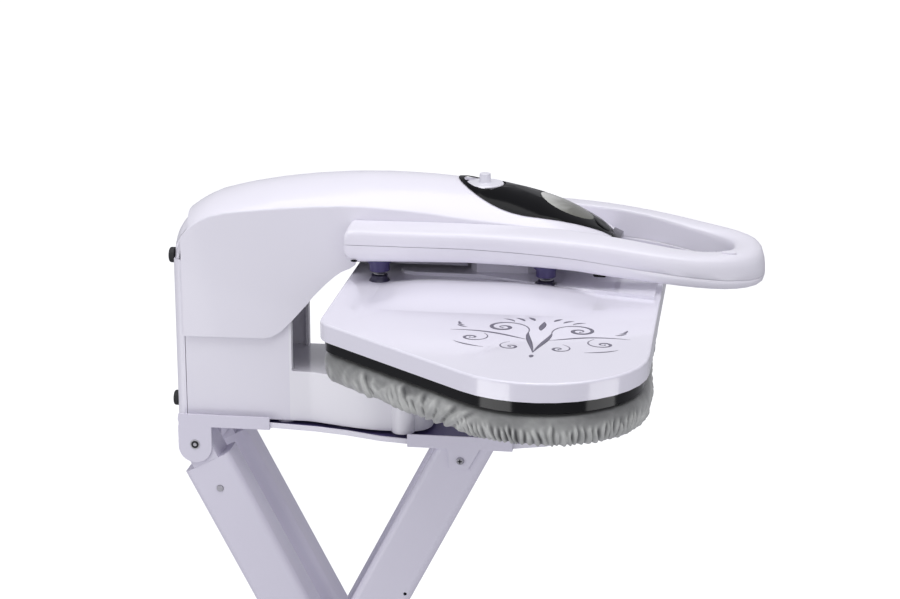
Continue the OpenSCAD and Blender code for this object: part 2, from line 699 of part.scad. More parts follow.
module hood_cover() {
  color(white) place() difference() {
    wall_skin([for (x = hood_stations) hood_section(x)]);
    translate([hinge_x, 0, hinge_z]) rotate([90, 0, 0]) linear_extrude(2 * cheek_gap, center = true)
      polygon([[0, 0], [90 * cos(hood_cut), 90 * sin(hood_cut)], [-90, 60], [-90, -16], [-25, -16]]);
    translate([0, 0, 150]) linear_extrude(100) polygon(console_outline(4));
    translate([0, 0, 150]) linear_extrude(100) oval(key_mid, key_len + 0.6, key_half + 0.6);
  }
}

// Handle: two rails along the hood joined by the front loop
function loop_centre_half() = handle_half - 12;
function rail_station(i) =
  let (n = len(rail_stations), total = 2 * n + arc_steps + 1)
  i < n ? let (x = rail_stations[i], w = x < 336 ? 16 : 16 - 4 * (x - 336) / (loop_start - 336))
      [x, -(handle_half - w), 0, w]
  : i > n + arc_steps ? let (x = rail_stations[total - 1 - i],
      w = x < 336 ? 16 : 16 - 4 * (x - 336) / (loop_start - 336)) [x, handle_half - w, 180, w]
  : let (t = -90 + 180 * (i - n) / arc_steps, p = 2 / loop_shape,
      a = handle_front - handle_bar / 2 - loop_start, b = loop_centre_half(),
      x = loop_start + a * pow(cos(t), p), y = b * signed_pow(sin(t), p),
      w = 12 + (handle_bar / 2 - 12) * pow(cos(t), 2))
    [x, y, atan2(b * sin(t) * pow(abs(sin(t)) + eps, 1 - p) * a, b * b * cos(t) / b * a
      * pow(cos(t) + eps, 1 - p) / a) * 0 + loop_turn(t), w];
function loop_turn(t) =
  let (d = 0.5, p = 2 / loop_shape, a = handle_front - handle_bar / 2 - loop_start,
    b = loop_centre_half(), t0 = max(t - d, -90), t1 = min(t + d, 90),
    dx = a * (pow(cos(t1), p) - pow(cos(t0), p)), dy = b * (signed_pow(sin(t1), p)
      - signed_pow(sin(t0), p)))
  abs(t) > 89 ? (t < 0 ? 0 : 180) : atan2(dy, dx);
rail_count = 2 * len(rail_stations) + arc_steps + 1;

// Half sections from the outside to the inside: along the hood, and round the front of the loop
upper_rail = [[1, 0], [0.995, 0.3], [0.97, 0.56], [0.89, 0.76], [0.72, 0.86], [0.35, 0.92], [-0.2, 0.96],
  [-0.78, 1], [-0.92, 0.99], [-0.985, 0.94], [-1, 0.82], [-1, 0]];
upper_bar = [[1, 0], [0.98, 0.28], [0.93, 0.52], [0.82, 0.74], [0.62, 0.9], [0.3, 0.98], [-0.15, 1],
  [-0.6, 0.97], [-0.82, 0.9], [-0.94, 0.78], [-0.99, 0.56], [-1, 0]];
lower_rail = [[1, 0], [1, 0.4], [0.975, 0.7], [0.9, 0.88], [0.74, 0.97], [0.4, 1], [-0.3, 1],
  [-0.8, 1], [-0.94, 0.985], [-0.99, 0.92], [-1, 0.8], [-1, 0]];
lower_bar = [[1, 0], [0.98, 0.35], [0.93, 0.6], [0.82, 0.8], [0.62, 0.93], [0.3, 0.99], [-0.15, 1],
  [-0.6, 0.97], [-0.82, 0.9], [-0.94, 0.78], [-0.99, 0.55], [-1, 0]];
function rail_half_section(s, upper, t) =
  let (w = s[3] - t, zp = lookup(s[0], rail_part_line),
    far = upper ? lookup(s[0], rail_top_line) - t - zp : lookup(s[0], rail_low_line) + t - zp,
    k = max(0, min(1, (s[0] - 400) / 80)), c = cos(s[2]), d = sin(s[2]))
  [for (i = [0:len(upper_rail) - 1])
    let (q = upper ? upper_rail[i] * (1 - k) + upper_bar[i] * k : lower_rail[i] * (1 - k) + lower_bar[i] * k,
      u = w * q[0], v = (upper ? 0.2 : -0.2) + far * q[1])
    [s[0] + u * d, s[1] - u * c, zp + v]];
// The walls that close the rails' rear ends
module rail_ends(upper) {
  loops = [for (x = [rail_rear + 0.8, rail_rear + 3])
    let (h = rail_half_section([x, -(handle_half - 16), 0, 16], upper, shell_t / 2))
    upper ? h : reversed(h)];
  both_sides() skin(loops);
}
function rail_section(i, upper) =
  let (s = rail_station(i), loop = concat(rail_half_section(s, upper, 0),
    reversed(rail_half_section(s, upper, shell_t))))
  upper ? loop : reversed(loop);

module handle_upper() {
  color(white) place() difference() {
    union() {
      wall_skin([for (i = [0:rail_count - 1]) rail_section(i, true)]);
      rail_ends(true);
    }
    translate(lock_spot) linear_extrude(20) oval(0, 6.2, 3.8);
  }
}

module handle_lower() {
  color(white) place() difference() {
    union() {
      wall_skin([for (i = [0:rail_count - 1]) rail_section(i, false)]);
      rail_ends(false);
    }
    for (x = guide_spots, s = [-1, 1])
      translate([x, s * guide_y, 150]) cylinder(r = bolt_r + seat_gap, h = 20, $fn = 32);
  }
}

module head_under_cover() {
  color(lilac) place() {
    difference() {
      translate([neck_rear + 4, -hood_half + shell_t + seat_gap, 160])
        cube([console_front - neck_rear - 7, 2 * (hood_half - shell_t - seat_gap), 2]);
      translate([neck_rear - 8, -arm_out - 1, 150]) cube([70, 2 * arm_out + 2, 20]);
    }
    translate([console_front - 5.5, 0, 0]) rotate([90, 0, 90]) linear_extrude(2.5)
      polygon(concat([[-hood_half + shell_t + seat_gap, 160], [hood_half - shell_t - seat_gap, 160]],
        [for (i = [8:-1:-8]) [i * 5, hood_z(console_front - 3, i * 5, shell_t * 1.4) - 0.5]]));
  }
}

function console_loop(scale_in, lift) =
  let (mid = (console_rear + console_front) / 2)
  [for (p = console_outline(0)) let (x = mid + (p[0] - mid) * scale_in, y = p[1] * scale_in)
    [x, y, hood_z(x, y) + lift]];

window_mid = 340;
window_len = 23;
window_half = 20;
key_mid = 371;
key_len = 7.5;
key_half = 11;

module oval(x, rx, ry) {
  translate([x, 0]) polygon([for (i = [0:31]) [rx * cos(i * 11.25), ry * sin(i * 11.25)]]);
}

module console_panel() {
  color(black) place() difference() {
    skin([console_loop(0.3, -3), console_loop(0.6, -3), console_loop(0.85, -3), console_loop(0.88, 0.5),
      console_loop(0.985, 0.5), console_loop(0.99, 1), console_loop(0.93, 1.3),
      console_loop(0.75, 1.3), console_loop(0.55, 1.3), console_loop(0.3, 1.3)]);
    translate([0, 0, 150]) linear_extrude(100) oval(window_mid, window_len, window_half);
    translate([0, 0, 150]) linear_extrude(100) oval(key_mid, key_len, key_half);
    translate([filler_x, 0, 212]) cylinder(r = filler_r + 1.5, h = 30, $fn = 64);
    translate([filler_x, 0, 150]) cylinder(r = 8 + seat_gap, h = 100, $fn = 48);
  }
}

function oval_loop(x0, rx, ry, s, lift) =
  [for (i = [0:31]) let (x = x0 + s * rx * cos(i * 11.25), y = s * ry * sin(i * 11.25))
    [x, y, hood_z(x, y) + lift]];

module console_window() {
  g = key_gap / 2;
  color([0.55, 0.57, 0.55]) place()
    skin([oval_loop(window_mid, window_len - g, window_half - g, 0.35, -1.8),
      oval_loop(window_mid, window_len - g, window_half - g, 0.7, -1.8),
      oval_loop(window_mid, window_len - g, window_half - g, 1, -1.8),
      oval_loop(window_mid, window_len - g, window_half - g, 1, 1.1),
      oval_loop(window_mid, window_len - g, window_half - g, 0.93, 1.6),
      oval_loop(window_mid, window_len - g, window_half - g, 0.7, 1.7),
      oval_loop(window_mid, window_len - g, window_half - g, 0.35, 1.7)]);
}

module steam_key() {
  g = key_gap;
  color(black) place()
    skin([oval_loop(key_mid, key_len - g, key_half - g, 0.4, -3.2),
      oval_loop(key_mid, key_len - g, key_half - g, 1, -3.2),
      oval_loop(key_mid, key_len - g, key_half - g, 1, 1.5),
      oval_loop(key_mid, key_len - g, key_half - g, 0.9, 2.1),
      oval_loop(key_mid, key_len - g, key_half - g, 0.5, 1.9)]);
}

module display_module() {
  color([0.1, 0.35, 0.2]) place() {
    translate([window_mid - 4, 0, 179]) rotate([0, 26, 0]) {
      translate([-18, -15, 0]) cube([36, 30, 4]);
      translate([-24, -20, -1.8]) cube([48, 40, 1.6]);
    }
    for (y = [-16, 16]) translate([window_mid - 18, y, arm_top - 22]) cylinder(r = 3, h = 16.6, $fn = 24);
  }
}

tank_z = arm_low + 9.3;

module water_tank() {
  color([0.75, 0.78, 0.86]) place() difference() {
    union() {
      translate([166, -arm_out + arm_t + 1, tank_z]) cube([92, 2 * (arm_out - arm_t - 1), 32]);
      translate([filler_x - 14, 0, tank_z + 14]) cylinder(r = 11, h = 206 - tank_z - 14, $fn = 48);
      translate([filler_x - 30, -12, tank_z + 18]) cube([20, 24, 10]);
      translate([filler_x, 0, 202]) cylinder(r = 11, h = 6.5, $fn = 48);
      translate([filler_x - 14, -11, 202]) cube([14, 22, 4]);
    }
    translate([168, -arm_out + arm_t + 3, tank_z + 2]) cube([88, 2 * (arm_out - arm_t - 3), 28]);
    translate([filler_x, 0, 203.5]) cylinder(r = 6.6 + seat_gap, h = 20, $fn = 40);
  }
}

module steam_pump() {
  color(black) place() {
    translate([112, 0, arm_low + 24]) rotate([0, 90, 0]) cylinder(r = 14, h = 44, $fn = 48);
    translate([118, -12, arm_low + 9]) cube([32, 24, 8]);
    translate([156, 0, arm_low + 24]) rotate([0, 90, 0]) cylinder(r = 4, h = 10, $fn = 32);
  }
}

function under_rail(x, r) = min(lookup(x - r, rail_low_line), lookup(x + r, rail_low_line)) - 0.25;
guide_spots = [186, 328];
guide_y = 61;
guide_low = plate_top + 9;
bolt_r = 3.5;
spring_r = 5.2;
spring_wire = 0.7;
spring_turns = 5;

module suspension_guides() {
  color(plum) place() both_sides() for (x = guide_spots) translate([x, guide_y, 0]) {
    top = under_rail(x, 10.5);
    difference() {
      union() {
        translate([0, 0, guide_low]) cylinder(r = 8.5, h = top - guide_low, $fn = 48);
        translate([0, 0, top - 2.5]) cylinder(r = 10.5, h = 2.5, $fn = 48);
      }
      translate([0, 0, guide_low - 1]) cylinder(r = bolt_r + running, h = 40, $fn = 48);
      translate([0, 0, guide_low - 1]) cylinder(r = spring_r + spring_wire + 0.5, h = 7, $fn = 48);
    }
  }
}

// A compression spring as one round wire, swept on points of its helix
spring_sides = 6;
function coil_rings(h, turns) =
  [for (k = [0:8 * turns]) let (a = 360 * k / 8, z = spring_wire + 0.1
      + (h - 2 * spring_wire - 0.2) * k / (8 * turns))
    [for (j = [0:spring_sides - 1]) let (b = 360 * j / spring_sides,
        r = spring_r + spring_wire * cos(b))
      [r * cos(a), r * sin(a), z + spring_wire * sin(b)]]];
spring_low = plate_top + 5;
spring_high = guide_low + 6;
spring_pitch = (spring_high - spring_low - 2 * spring_wire - 0.2) / spring_turns;
echo("least gap between the spring's turns", spring_pitch - 2 * spring_wire);

module suspension_springs() {
  color(steel) place() both_sides() for (x = guide_spots)
    translate([x, guide_y, spring_low]) skin(coil_rings(spring_high - spring_low, spring_turns));
}

module suspension_bolts() {
  color(plum) place() both_sides() for (x = guide_spots) translate([x, guide_y, plate_top]) {
    cylinder(r1 = 9, r2 = 7, h = 3, $fn = 48);
    translate([0, 0, 3]) cylinder(r = 7, h = 2, $fn = 48);
    cylinder(r = bolt_r, h = lookup(x, rail_low_line) - plate_top + shell_t + 2, $fn = 48);
    translate([0, 0, lookup(x, rail_low_line) - plate_top + shell_t + 0.8]) cylinder(r = 6, h = 2, $fn = 48);
  }
}

module hood_screws() {
  color(steel) place() both_sides() for (x = [300, 374])
    translate([x, guide_y + 2, under_rail(x, 5.5) - 0.2]) mirror([0, 0, 1])
      cylinder(r1 = 5.5, r2 = 4.5, h = 1.6, $fn = 32);
}

module plate_cover() {
  t = 3;
  rings = concat(
    [lifted(outline(16), plate_top - t)],
    [lifted(outline(t + 1), plate_top - t)],
    [lifted(outline(t), plate_top - t - 2)],
    [lifted(outline(t), plate_z)],
    [lifted(outline(0), plate_z)],
    [lifted(outline(0), plate_top - 1.9)],
    [lifted(outline(0.4), plate_top - 0.8)],
    [lifted(outline(1.1), plate_top - 0.2)],
    [lifted(outline(2.2), plate_top)],
    [lifted(outline(16), plate_top)]);
  color(white) place() difference() {
    union() {
      skin(rings);
      translate([0, 0, plate_top - 0.5]) linear_extrude(saddle_h + 0.5) polygon(saddle_points(0));
    }
    for (x = guide_spots, s = [-1, 1]) translate([x, s * guide_y, plate_top])
      cylinder(r = 9.3, h = 20, $fn = 48);
  }
}

function saddle_points(inset) =
  let (half = [[200 + inset, 30], [204, 37], [214, 41.5], [270, 42.5], [288, 50], [312, 58],
    [341, 68], [380, 80], [plate_front - 5, 91]])
  mirrored([for (p = half) [p[0], p[1] - inset]]);

module insulation_rim() {
  color(black) place() translate([0, 0, plate_z - 9.5]) difference() {
    linear_extrude(9.5) outline_shape(3.5);
    translate([0, 0, -1]) linear_extrude(12) outline_shape(12);
  }
}

sole_z = pad_top + press_gap;

module sole_plate() {
  color([0.8, 0.8, 0.82]) place() difference() {
    translate([0, 0, sole_z]) linear_extrude(plate_z - sole_z) outline_shape(12.3);
    for (i = [0:15], side = [-1, 1]) let (a = i * 22.5)
      translate([310 + 60 * cos(a), side * ((side > 0 ? 96 : 120) + (side > 0 ? 66 : 92) * sin(a)), sole_z - 1])
        cylinder(r = 1.6, h = 20, $fn = 20);
  }
}

module heater_element() {
  r = 4;
  half = 45;
  reach = 200;
  far_reach = reach - far_short - 10;
  color(steel) place() translate([300, 0, plate_z + r]) {
    for (s = [-1, 1]) translate([s * half, -reach, 0]) along_y(0, reach + far_reach, r, 32);
    translate([0, far_reach, 0]) rotate_extrude(angle = 180, $fn = 64) translate([half, 0]) circle(r = r, $fn = 32);
    for (s = [-1, 1]) translate([s * half, -reach - 24, 0]) along_y(0, 24, 2.2, 24);
  }
}

module thermostat() {
  color(silver) place() translate([300, 0, plate_z]) {
    cylinder(r = 12, h = 6, $fn = 48);
    translate([-18, -4, 0]) cube([36, 8, 1.2]);
    for (x = [-6, 6]) translate([x - 1.5, -3, 6]) cube([3, 6, 4]);
  }
}

module plate_neck() {
  h = 160 - plate_top - saddle_h;
  color(lilac) place() translate([0, 0, plate_top + saddle_h]) linear_extrude(h)
    polygon([[266, -34], [310, -34], [320, -22], [320, 22], [310, 34], [266, 34],
      [neck_rear, 26], [neck_rear, -26]]);
}

module filler_plug() {
  color(white) place() translate([filler_x, 0, 0]) {
    translate([0, 0, 213.2]) cylinder(r1 = filler_r - 0.6, r2 = filler_r, h = 1.6, $fn = 64);
    translate([0, 0, 214.8]) cylinder(r1 = filler_r, r2 = filler_r - 1, h = 1.2, $fn = 64);
    translate([0, 0, 216]) cylinder(r1 = peg_r, r2 = peg_r * 0.94, h = 8, $fn = 40);
    translate([0, 0, 205]) cylinder(r = 6.6, h = 8.3, $fn = 40);
    translate([-3, -filler_r - 1, 213.2]) cube([5, 6, 1.6]);
  }
}

module lock_button() {
  color(white) place() translate(lock_spot) linear_extrude(2.6) oval(0, 6, 3.6);
}

lock_spot = [480, -40, lookup(480, rail_top_line) - 1.3];

// Legs
module leg_section(depth) {
  difference() {
    round_rect(leg_w, depth, leg_corner);
    round_rect(leg_w - 2 * leg_wall, depth - 2 * leg_wall, leg_corner - leg_wall);
  }
}

leg_top_gap = 20;

module rear_leg() {
  len = (-rear_pin_drop - bar_axis_z) / cos(leg_lean) - leg_top_gap;
  translate([0, (rear_leg_out + rear_leg_in) / 2, 0]) difference() {
    translate([rear_pin_x, 0, -rear_pin_drop]) rotate([0, -leg_lean, 0])
      translate([0, 0, -leg_top_gap - len]) linear_extrude(len) leg_section(rear_leg_d);
    translate([rear_foot_x, 0, bar_axis_z]) along_y(-100, 100, bar_r + eps);
    translate([rear_foot_x - 60, -100, bar_axis_z - 100]) cube([120, 200, 100]);
    translate([pivot_x, 0, pivot_z]) along_y(-100, 100, pivot_bolt_r + eps);
    translate([rear_pin_x, 0, -rear_pin_drop]) rotate([0, -leg_lean, 0])
      translate([0, 0, -46]) along_y(0, 100, 3.2);
  }
}

module rear_leg_left() {
  color(lilac) place() mirror([0, 1, 0]) rear_leg();
}

module rear_leg_right() {
  color(lilac) place() rear_leg();
}

module rear_leg_plugs() {
  w = leg_w - 2 * leg_wall - 0.4;
  d = rear_leg_d - 2 * leg_wall - 0.4;
  color(lilac) place() both_sides() translate([rear_pin_x, (rear_leg_out + rear_leg_in) / 2, -rear_pin_drop])
    rotate([0, -leg_lean, 0]) difference() {
      union() {
        along_y(-rear_leg_d / 2, rear_leg_d / 2, 12.5);
        translate([-12.5, -rear_leg_d / 2, -leg_top_gap]) cube([25, rear_leg_d, leg_top_gap]);
        translate([0, 0, -leg_top_gap - 36]) linear_extrude(36) round_rect(w, d, leg_corner - leg_wall - 0.2);
      }
      along_y(-50, 50, rear_pin_r);
      translate([0, 0, -46]) along_y(0, 50, 3);
    }
}

module leg_rivets() {
  color(steel) place() both_sides() translate([rear_pin_x, (rear_leg_out + rear_leg_in) / 2, -rear_pin_drop])
    rotate([0, -leg_lean, 0]) translate([0, 0, -46]) along_y(0, rear_leg_d / 2 + 0.8, 3);
}

module rear_foot_bar() {
  color(lilac) place() translate([rear_foot_x, 0, bar_axis_z]) difference() {
    along_y(-bar_half, bar_half, bar_r);
    along_y(-bar_half - 1, bar_half + 1, bar_r - leg_wall);
  }
}

module front_foot_bar() {
  color(lilac) place() translate([front_foot_x, 0, bar_axis_z]) difference() {
    along_y(-bar_half, bar_half, bar_r);
    along_y(-bar_half - 1, bar_half + 1, bar_r - leg_wall);
  }
}

module foot_caps(x) {
  place() both_sides() translate([x, 0, bar_axis_z]) difference() {
    along_y(bar_half - cap_len + cap_wall, bar_half + cap_wall, cap_r, 72);
    along_y(bar_half - cap_len, bar_half, bar_r);
    translate([-50, 0, -cap_r - 10 + cap_flat]) cube([100, bar_half + 50, 10]);
  }
}

module rear_foot_caps() {
  color(black) foot_caps(rear_foot_x);
}

module front_foot_caps() {
  color(black) foot_caps(front_foot_x);
}

module rear_brace() {
  color(lilac) place()
    translate([pivot_x + brace_from_pivot * sin(leg_lean), 0, pivot_z - brace_from_pivot * cos(leg_lean)])
      along_y(-rear_leg_in, rear_leg_in, brace_r);
}

module front_brace() {
  color(lilac) place()
    translate([pivot_x - brace_from_pivot * sin(leg_lean), 0, pivot_z - brace_from_pivot * cos(leg_lean)])
      along_y(-front_leg_in, front_leg_in, brace_r);
}

module front_leg() {
  len = (-lock_drop - bar_axis_z) / cos(leg_lean);
  translate([0, (front_leg_out + front_leg_in) / 2, 0]) difference() {
    translate([lock_x, 0, -lock_drop]) rotate([0, leg_lean, 0])
      translate([0, 0, -len]) linear_extrude(len + 60) leg_section(leg_d);
    translate([lock_x - 200, -100, -bracket_t - 0.5]) cube([400, 200, 200]);
    translate([front_foot_x, 0, bar_axis_z]) along_y(-100, 100, bar_r + eps);
    translate([front_foot_x - 60, -100, bar_axis_z - 100]) cube([120, 200, 100]);
    translate([pivot_x, 0, pivot_z]) along_y(-100, 100, pivot_bolt_r + 2.5);
    translate([lock_x + 1.5, 0, -lock_drop]) along_y(0, 100, 2.6);
    translate([lock_x - 47.4, 0, -139]) along_y(0, 100, 1.6, 24);
  }
}

module front_leg_left() {
  color(lilac) place() mirror([0, 1, 0]) front_leg();
}

module front_leg_right() {
  color(lilac) place() front_leg();
}

module scissor_bolts() {
  color(steel) place() both_sides() translate([pivot_x, 0, pivot_z]) {
    along_y(rear_leg_in - 3, front_leg_out + 1, pivot_bolt_r);
    along_y(front_leg_out + 1, front_leg_out + 3.4, 7);
    along_y(rear_leg_in - 4, rear_leg_in, 7.5);
    difference() {
      along_y(rear_leg_out, rear_leg_out + leg_gap - 0.3, 14);
      along_y(rear_leg_out - 1, rear_leg_out + leg_gap, pivot_bolt_r - eps);
    }
  }
}

module scissor_bushes() {
  color(black) place() both_sides() translate([pivot_x, 0, pivot_z]) difference() {
    along_y(front_leg_in, front_leg_out, pivot_bolt_r + 2.5);
    along_y(front_leg_in - 1, front_leg_out + 1, pivot_bolt_r + running);
  }
}

base_tray();
base_housing();
rear_cover();
rear_bumpers();
cord_gland();
tray_spacers();
hinge_bushes();
board_posts();
board_plate();
board_pad();
board_cover();
rear_brackets();
front_brackets();
bracket_screws();
rear_leg_pins();
lock_screws();
power_board();
hinge_shaft();
lift_springs();
head_arm();
hood_cover();
handle_upper();
handle_lower();
head_under_cover();
console_panel();
console_window();
display_module();
water_tank();
steam_pump();
suspension_guides();
suspension_springs();
hood_screws();
plate_cover();
insulation_rim();
sole_plate();
heater_element();
thermostat();
plate_neck();
suspension_bolts();
filler_plug();
steam_key();
lock_button();
rear_leg_left();
rear_leg_right();
rear_leg_plugs();
rear_foot_bar();
rear_brace();
rear_foot_caps();
leg_rivets();
scissor_bolts();
front_leg_left();
front_leg_right();
front_foot_bar();
front_brace();
front_foot_caps();
scissor_bushes();
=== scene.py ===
import bpy
import bmesh
import math
import random
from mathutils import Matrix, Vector, noise


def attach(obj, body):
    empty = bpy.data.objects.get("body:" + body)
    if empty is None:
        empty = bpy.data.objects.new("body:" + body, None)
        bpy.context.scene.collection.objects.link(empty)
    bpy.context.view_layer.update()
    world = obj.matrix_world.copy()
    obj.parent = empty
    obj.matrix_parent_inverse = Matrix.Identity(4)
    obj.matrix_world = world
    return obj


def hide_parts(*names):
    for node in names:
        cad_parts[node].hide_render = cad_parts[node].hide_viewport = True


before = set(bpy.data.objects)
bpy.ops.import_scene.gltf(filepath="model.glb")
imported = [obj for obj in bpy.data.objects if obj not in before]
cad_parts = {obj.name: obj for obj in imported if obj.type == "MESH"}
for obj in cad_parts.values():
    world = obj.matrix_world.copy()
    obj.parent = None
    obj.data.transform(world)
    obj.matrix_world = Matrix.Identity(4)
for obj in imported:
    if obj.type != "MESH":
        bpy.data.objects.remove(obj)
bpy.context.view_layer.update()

# Camera
# The press is seen from its right side, a little from the front and from above.
# The place and the lens were found by matching the plate, the hood and the legs to the photograph.


def put(name, data):
    piece = bpy.data.objects.new(name, data)
    bpy.context.scene.collection.objects.link(piece)
    return piece


def point_at(piece, place, target):
    piece.location = place
    way = Vector(target) - Vector(place)
    piece.rotation_euler = way.to_track_quat("-Z", "Y").to_euler()


camera_data = bpy.data.cameras.new("camera")
camera_data.sensor_width = 36.0
camera_data.lens = 92.0
camera_data.clip_end = 60.0
camera = put("camera", camera_data)
point_at(camera, place=(0.3178, -1.8775, 1.4055), target=(0.0480, 0.0425, 0.8495))
bpy.context.scene.camera = camera

# Studio
# A pale floor that runs out to white, and a white surround that gives most of the light.
# Three large soft lamps light the press, and two low strips put bright lines into its glossy edges.


def add(tree, kind, values=()):
    node = tree.nodes.new(kind)
    for socket, value in values:
        node.inputs[socket].default_value = value
    return node


def wire(tree, *joins):
    for source, outlet, target, inlet in joins:
        tree.links.new(source.outputs[outlet], target.inputs[inlet])


def seen_directly(tree):
    path = add(tree, "ShaderNodeLightPath")
    either = add(tree, "ShaderNodeMath")
    either.operation = "MAXIMUM"
    wire(tree, (path, "Is Camera Ray", either, 0), (path, "Is Transmission Ray", either, 1))
    return either


def lamp(name, place, target, size, watts):
    data = bpy.data.lights.new(name, "AREA")
    data.shape = "RECTANGLE"
    data.size, data.size_y = size
    data.energy = watts
    point_at(put(name, data), place, target)


bpy.context.scene.view_settings.view_transform = "Standard"
world = bpy.data.worlds.new("studio")
bpy.context.scene.world = world
world.use_nodes = True
tree = world.node_tree
tree.nodes.clear()
surround = add(tree, "ShaderNodeBackground", (("Color", (0.94, 0.945, 1.0, 1)), ("Strength", 0.49)))
white = add(tree, "ShaderNodeBackground", (("Color", (1, 1, 1, 1)), ("Strength", 1.0)))
mix = add(tree, "ShaderNodeMixShader")
out = add(tree, "ShaderNodeOutputWorld")
wire(tree, (seen_directly(tree), 0, mix, 0), (surround, 0, mix, 1), (white, 0, mix, 2),
     (mix, 0, out, "Surface"))

lamp("lamp_over", (0.1, -0.4, 2.9), (0.05, 0.0, 0.85), size=(2.2, 1.8), watts=33)
lamp("lamp_front", (1.3, -2.9, 1.5), (0.05, 0.0, 0.7), size=(1.4, 1.8), watts=8)
lamp("lamp_left", (-2.35, -1.6, 1.45), (0.05, 0.0, 0.8), size=(1.0, 1.6), watts=10)
lamp("strip_side", (1.59, -0.61, 0.41), (0.2, -0.24, 0.87), size=(1.0, 0.26), watts=2.3)
lamp("strip_near", (-0.91, -1.25, 0.41), (0.15, -0.28, 0.87), size=(1.0, 0.26), watts=2.9)

floor_mesh = bpy.data.meshes.new("floor")
work = bmesh.new()
bmesh.ops.create_circle(work, cap_ends=True, segments=96, radius=14.0)
work.to_mesh(floor_mesh)
work.free()
pale = bpy.data.materials.new("pale_floor")
pale.use_nodes = True
tree = pale.node_tree
tree.nodes.clear()
matt = add(tree, "ShaderNodeBsdfDiffuse", (("Color", (0.62, 0.62, 0.64, 1)),))
glow_share = add(tree, "ShaderNodeMath", ((1, 0.75),))
glow_share.operation = "MULTIPLY"
glow = add(tree, "ShaderNodeEmission", (("Color", (1, 1, 1, 1)),))
both = add(tree, "ShaderNodeAddShader")
out = add(tree, "ShaderNodeOutputMaterial")
wire(tree, (seen_directly(tree), 0, glow_share, 0), (glow_share, 0, glow, "Strength"),
     (matt, 0, both, 0), (glow, 0, both, 1), (both, 0, out, "Surface"))
floor_mesh.materials.append(pale)
floor = put("floor", floor_mesh)

# Tray and board posts
# The tray is the base's floor, moulded in pale lilac-white ABS with a low rim round it.
# Its floor is coloured dark plum as painted shade for the shadow gap under the housing; posts and round
# feet of the pale plastic stand on it and carry the board.


def shaded(name):
    material = bpy.data.materials.new(name)
    material.use_nodes = True
    return material, material.node_tree, material.node_tree.nodes["Principled BSDF"]


def ramp(tree, low, high, start=0.0, end=1.0):
    tint = add(tree, "ShaderNodeValToRGB")
    for stop, place, colour in zip(tint.color_ramp.elements, (start, end), (low, high)):
        stop.position = place
        stop.color = (*colour, 1)
    return tint


def between(tree, low, high):
    return add(tree, "ShaderNodeMapRange", (("To Min", low), ("To Max", high)))


def moulded(name, colour, rough, grain=0.05, coat=0.0, speck=0.005, gloss=0.5):
    material, tree, shader = shaded(name)
    shader.inputs["Coat Weight"].default_value = coat
    shader.inputs["Coat Roughness"].default_value = 0.06
    shader.inputs["Specular IOR Level"].default_value = gloss
    place = add(tree, "ShaderNodeTexCoord")
    cloud = add(tree, "ShaderNodeTexNoise", (("Scale", 30.0), ("Detail", 1.0)))
    fine = add(tree, "ShaderNodeTexNoise", (("Scale", 1600.0), ("Detail", 2.0)))
    bump = add(tree, "ShaderNodeBump", (("Strength", grain), ("Distance", 0.0004)))
    tint = ramp(tree, [c * (1 - speck) for c in colour], [min(1, c * (1 + speck)) for c in colour])
    sheen = between(tree, rough * 0.97, min(1.0, rough * 1.04))
    wire(tree, (place, "Object", cloud, "Vector"), (place, "Object", fine, "Vector"),
         (cloud, "Fac", tint, "Fac"), (tint, "Color", shader, "Base Color"),
         (cloud, "Fac", sheen, "Value"), (sheen, "Result", shader, "Roughness"),
         (fine, "Fac", bump, "Height"), (bump, "Normal", shader, "Normal"))
    return material


def finish_node(node, material):
    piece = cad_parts[node]
    if not piece.data.materials:
        piece.data.materials.append(material)
    for slot in piece.material_slots:
        slot.material = material


def smooth(mesh, angle):
    mesh.polygons.foreach_set("use_smooth", [True] * len(mesh.polygons))
    mesh.set_sharp_from_angle(angle=math.radians(angle))


def smooth_copy(node, body, material, angle=32.0, bevel=0.0):
    weld_distance = 0.000004
    flat_angle = math.radians(0.25)
    corner_angle = math.radians(40)
    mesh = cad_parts[node].data.copy()
    mesh.name = node + "_shape"
    work = bmesh.new()
    work.from_mesh(mesh)
    bmesh.ops.remove_doubles(work, verts=work.verts, dist=weld_distance)
    bmesh.ops.dissolve_limit(work, angle_limit=flat_angle, verts=work.verts, edges=work.edges)
    work.to_mesh(mesh)
    work.free()
    mesh.materials.clear()
    mesh.materials.append(material)
    smooth(mesh, angle)
    piece = put(node + "_finished", mesh)
    if bevel:
        rounding = piece.modifiers.new("rounding", "BEVEL")
        rounding.width = bevel
        rounding.segments = 2
        rounding.limit_method = "ANGLE"
        rounding.angle_limit = corner_angle
        rounding.use_clamp_overlap = True
    normals = piece.modifiers.new("normals", "WEIGHTED_NORMAL")
    normals.keep_sharp = True
    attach(piece, body)
    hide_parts(node)
    return piece


def repaint(piece, material, chosen):
    piece.data.materials.append(material)
    for face in piece.data.polygons:
        if chosen(face):
            face.material_index = len(piece.data.materials) - 1


lilac_white = (0.80, 0.779, 0.860)
body_plastic = moulded("lilac_white_abs", lilac_white, rough=0.30, grain=0.03, coat=0.12)
tray = smooth_copy("base_tray", "base", body_plastic, bevel=0.0004)
rim_height = 0.0015
tray_top = max(vertex.co.z for vertex in tray.data.vertices)
# Painted shade: the tray's floor inside the rim is coloured dark plum, for the shadow in the gap under
# the housing.
repaint(tray, moulded("plum_painted_shade", (0.10, 0.08, 0.22), rough=0.4, grain=0.1),
        lambda face: face.normal.z > 0.9 and face.center.z < tray_top - rim_height)
smooth_copy("board_posts", "base", body_plastic)
smooth_copy("tray_spacers", "base", body_plastic)
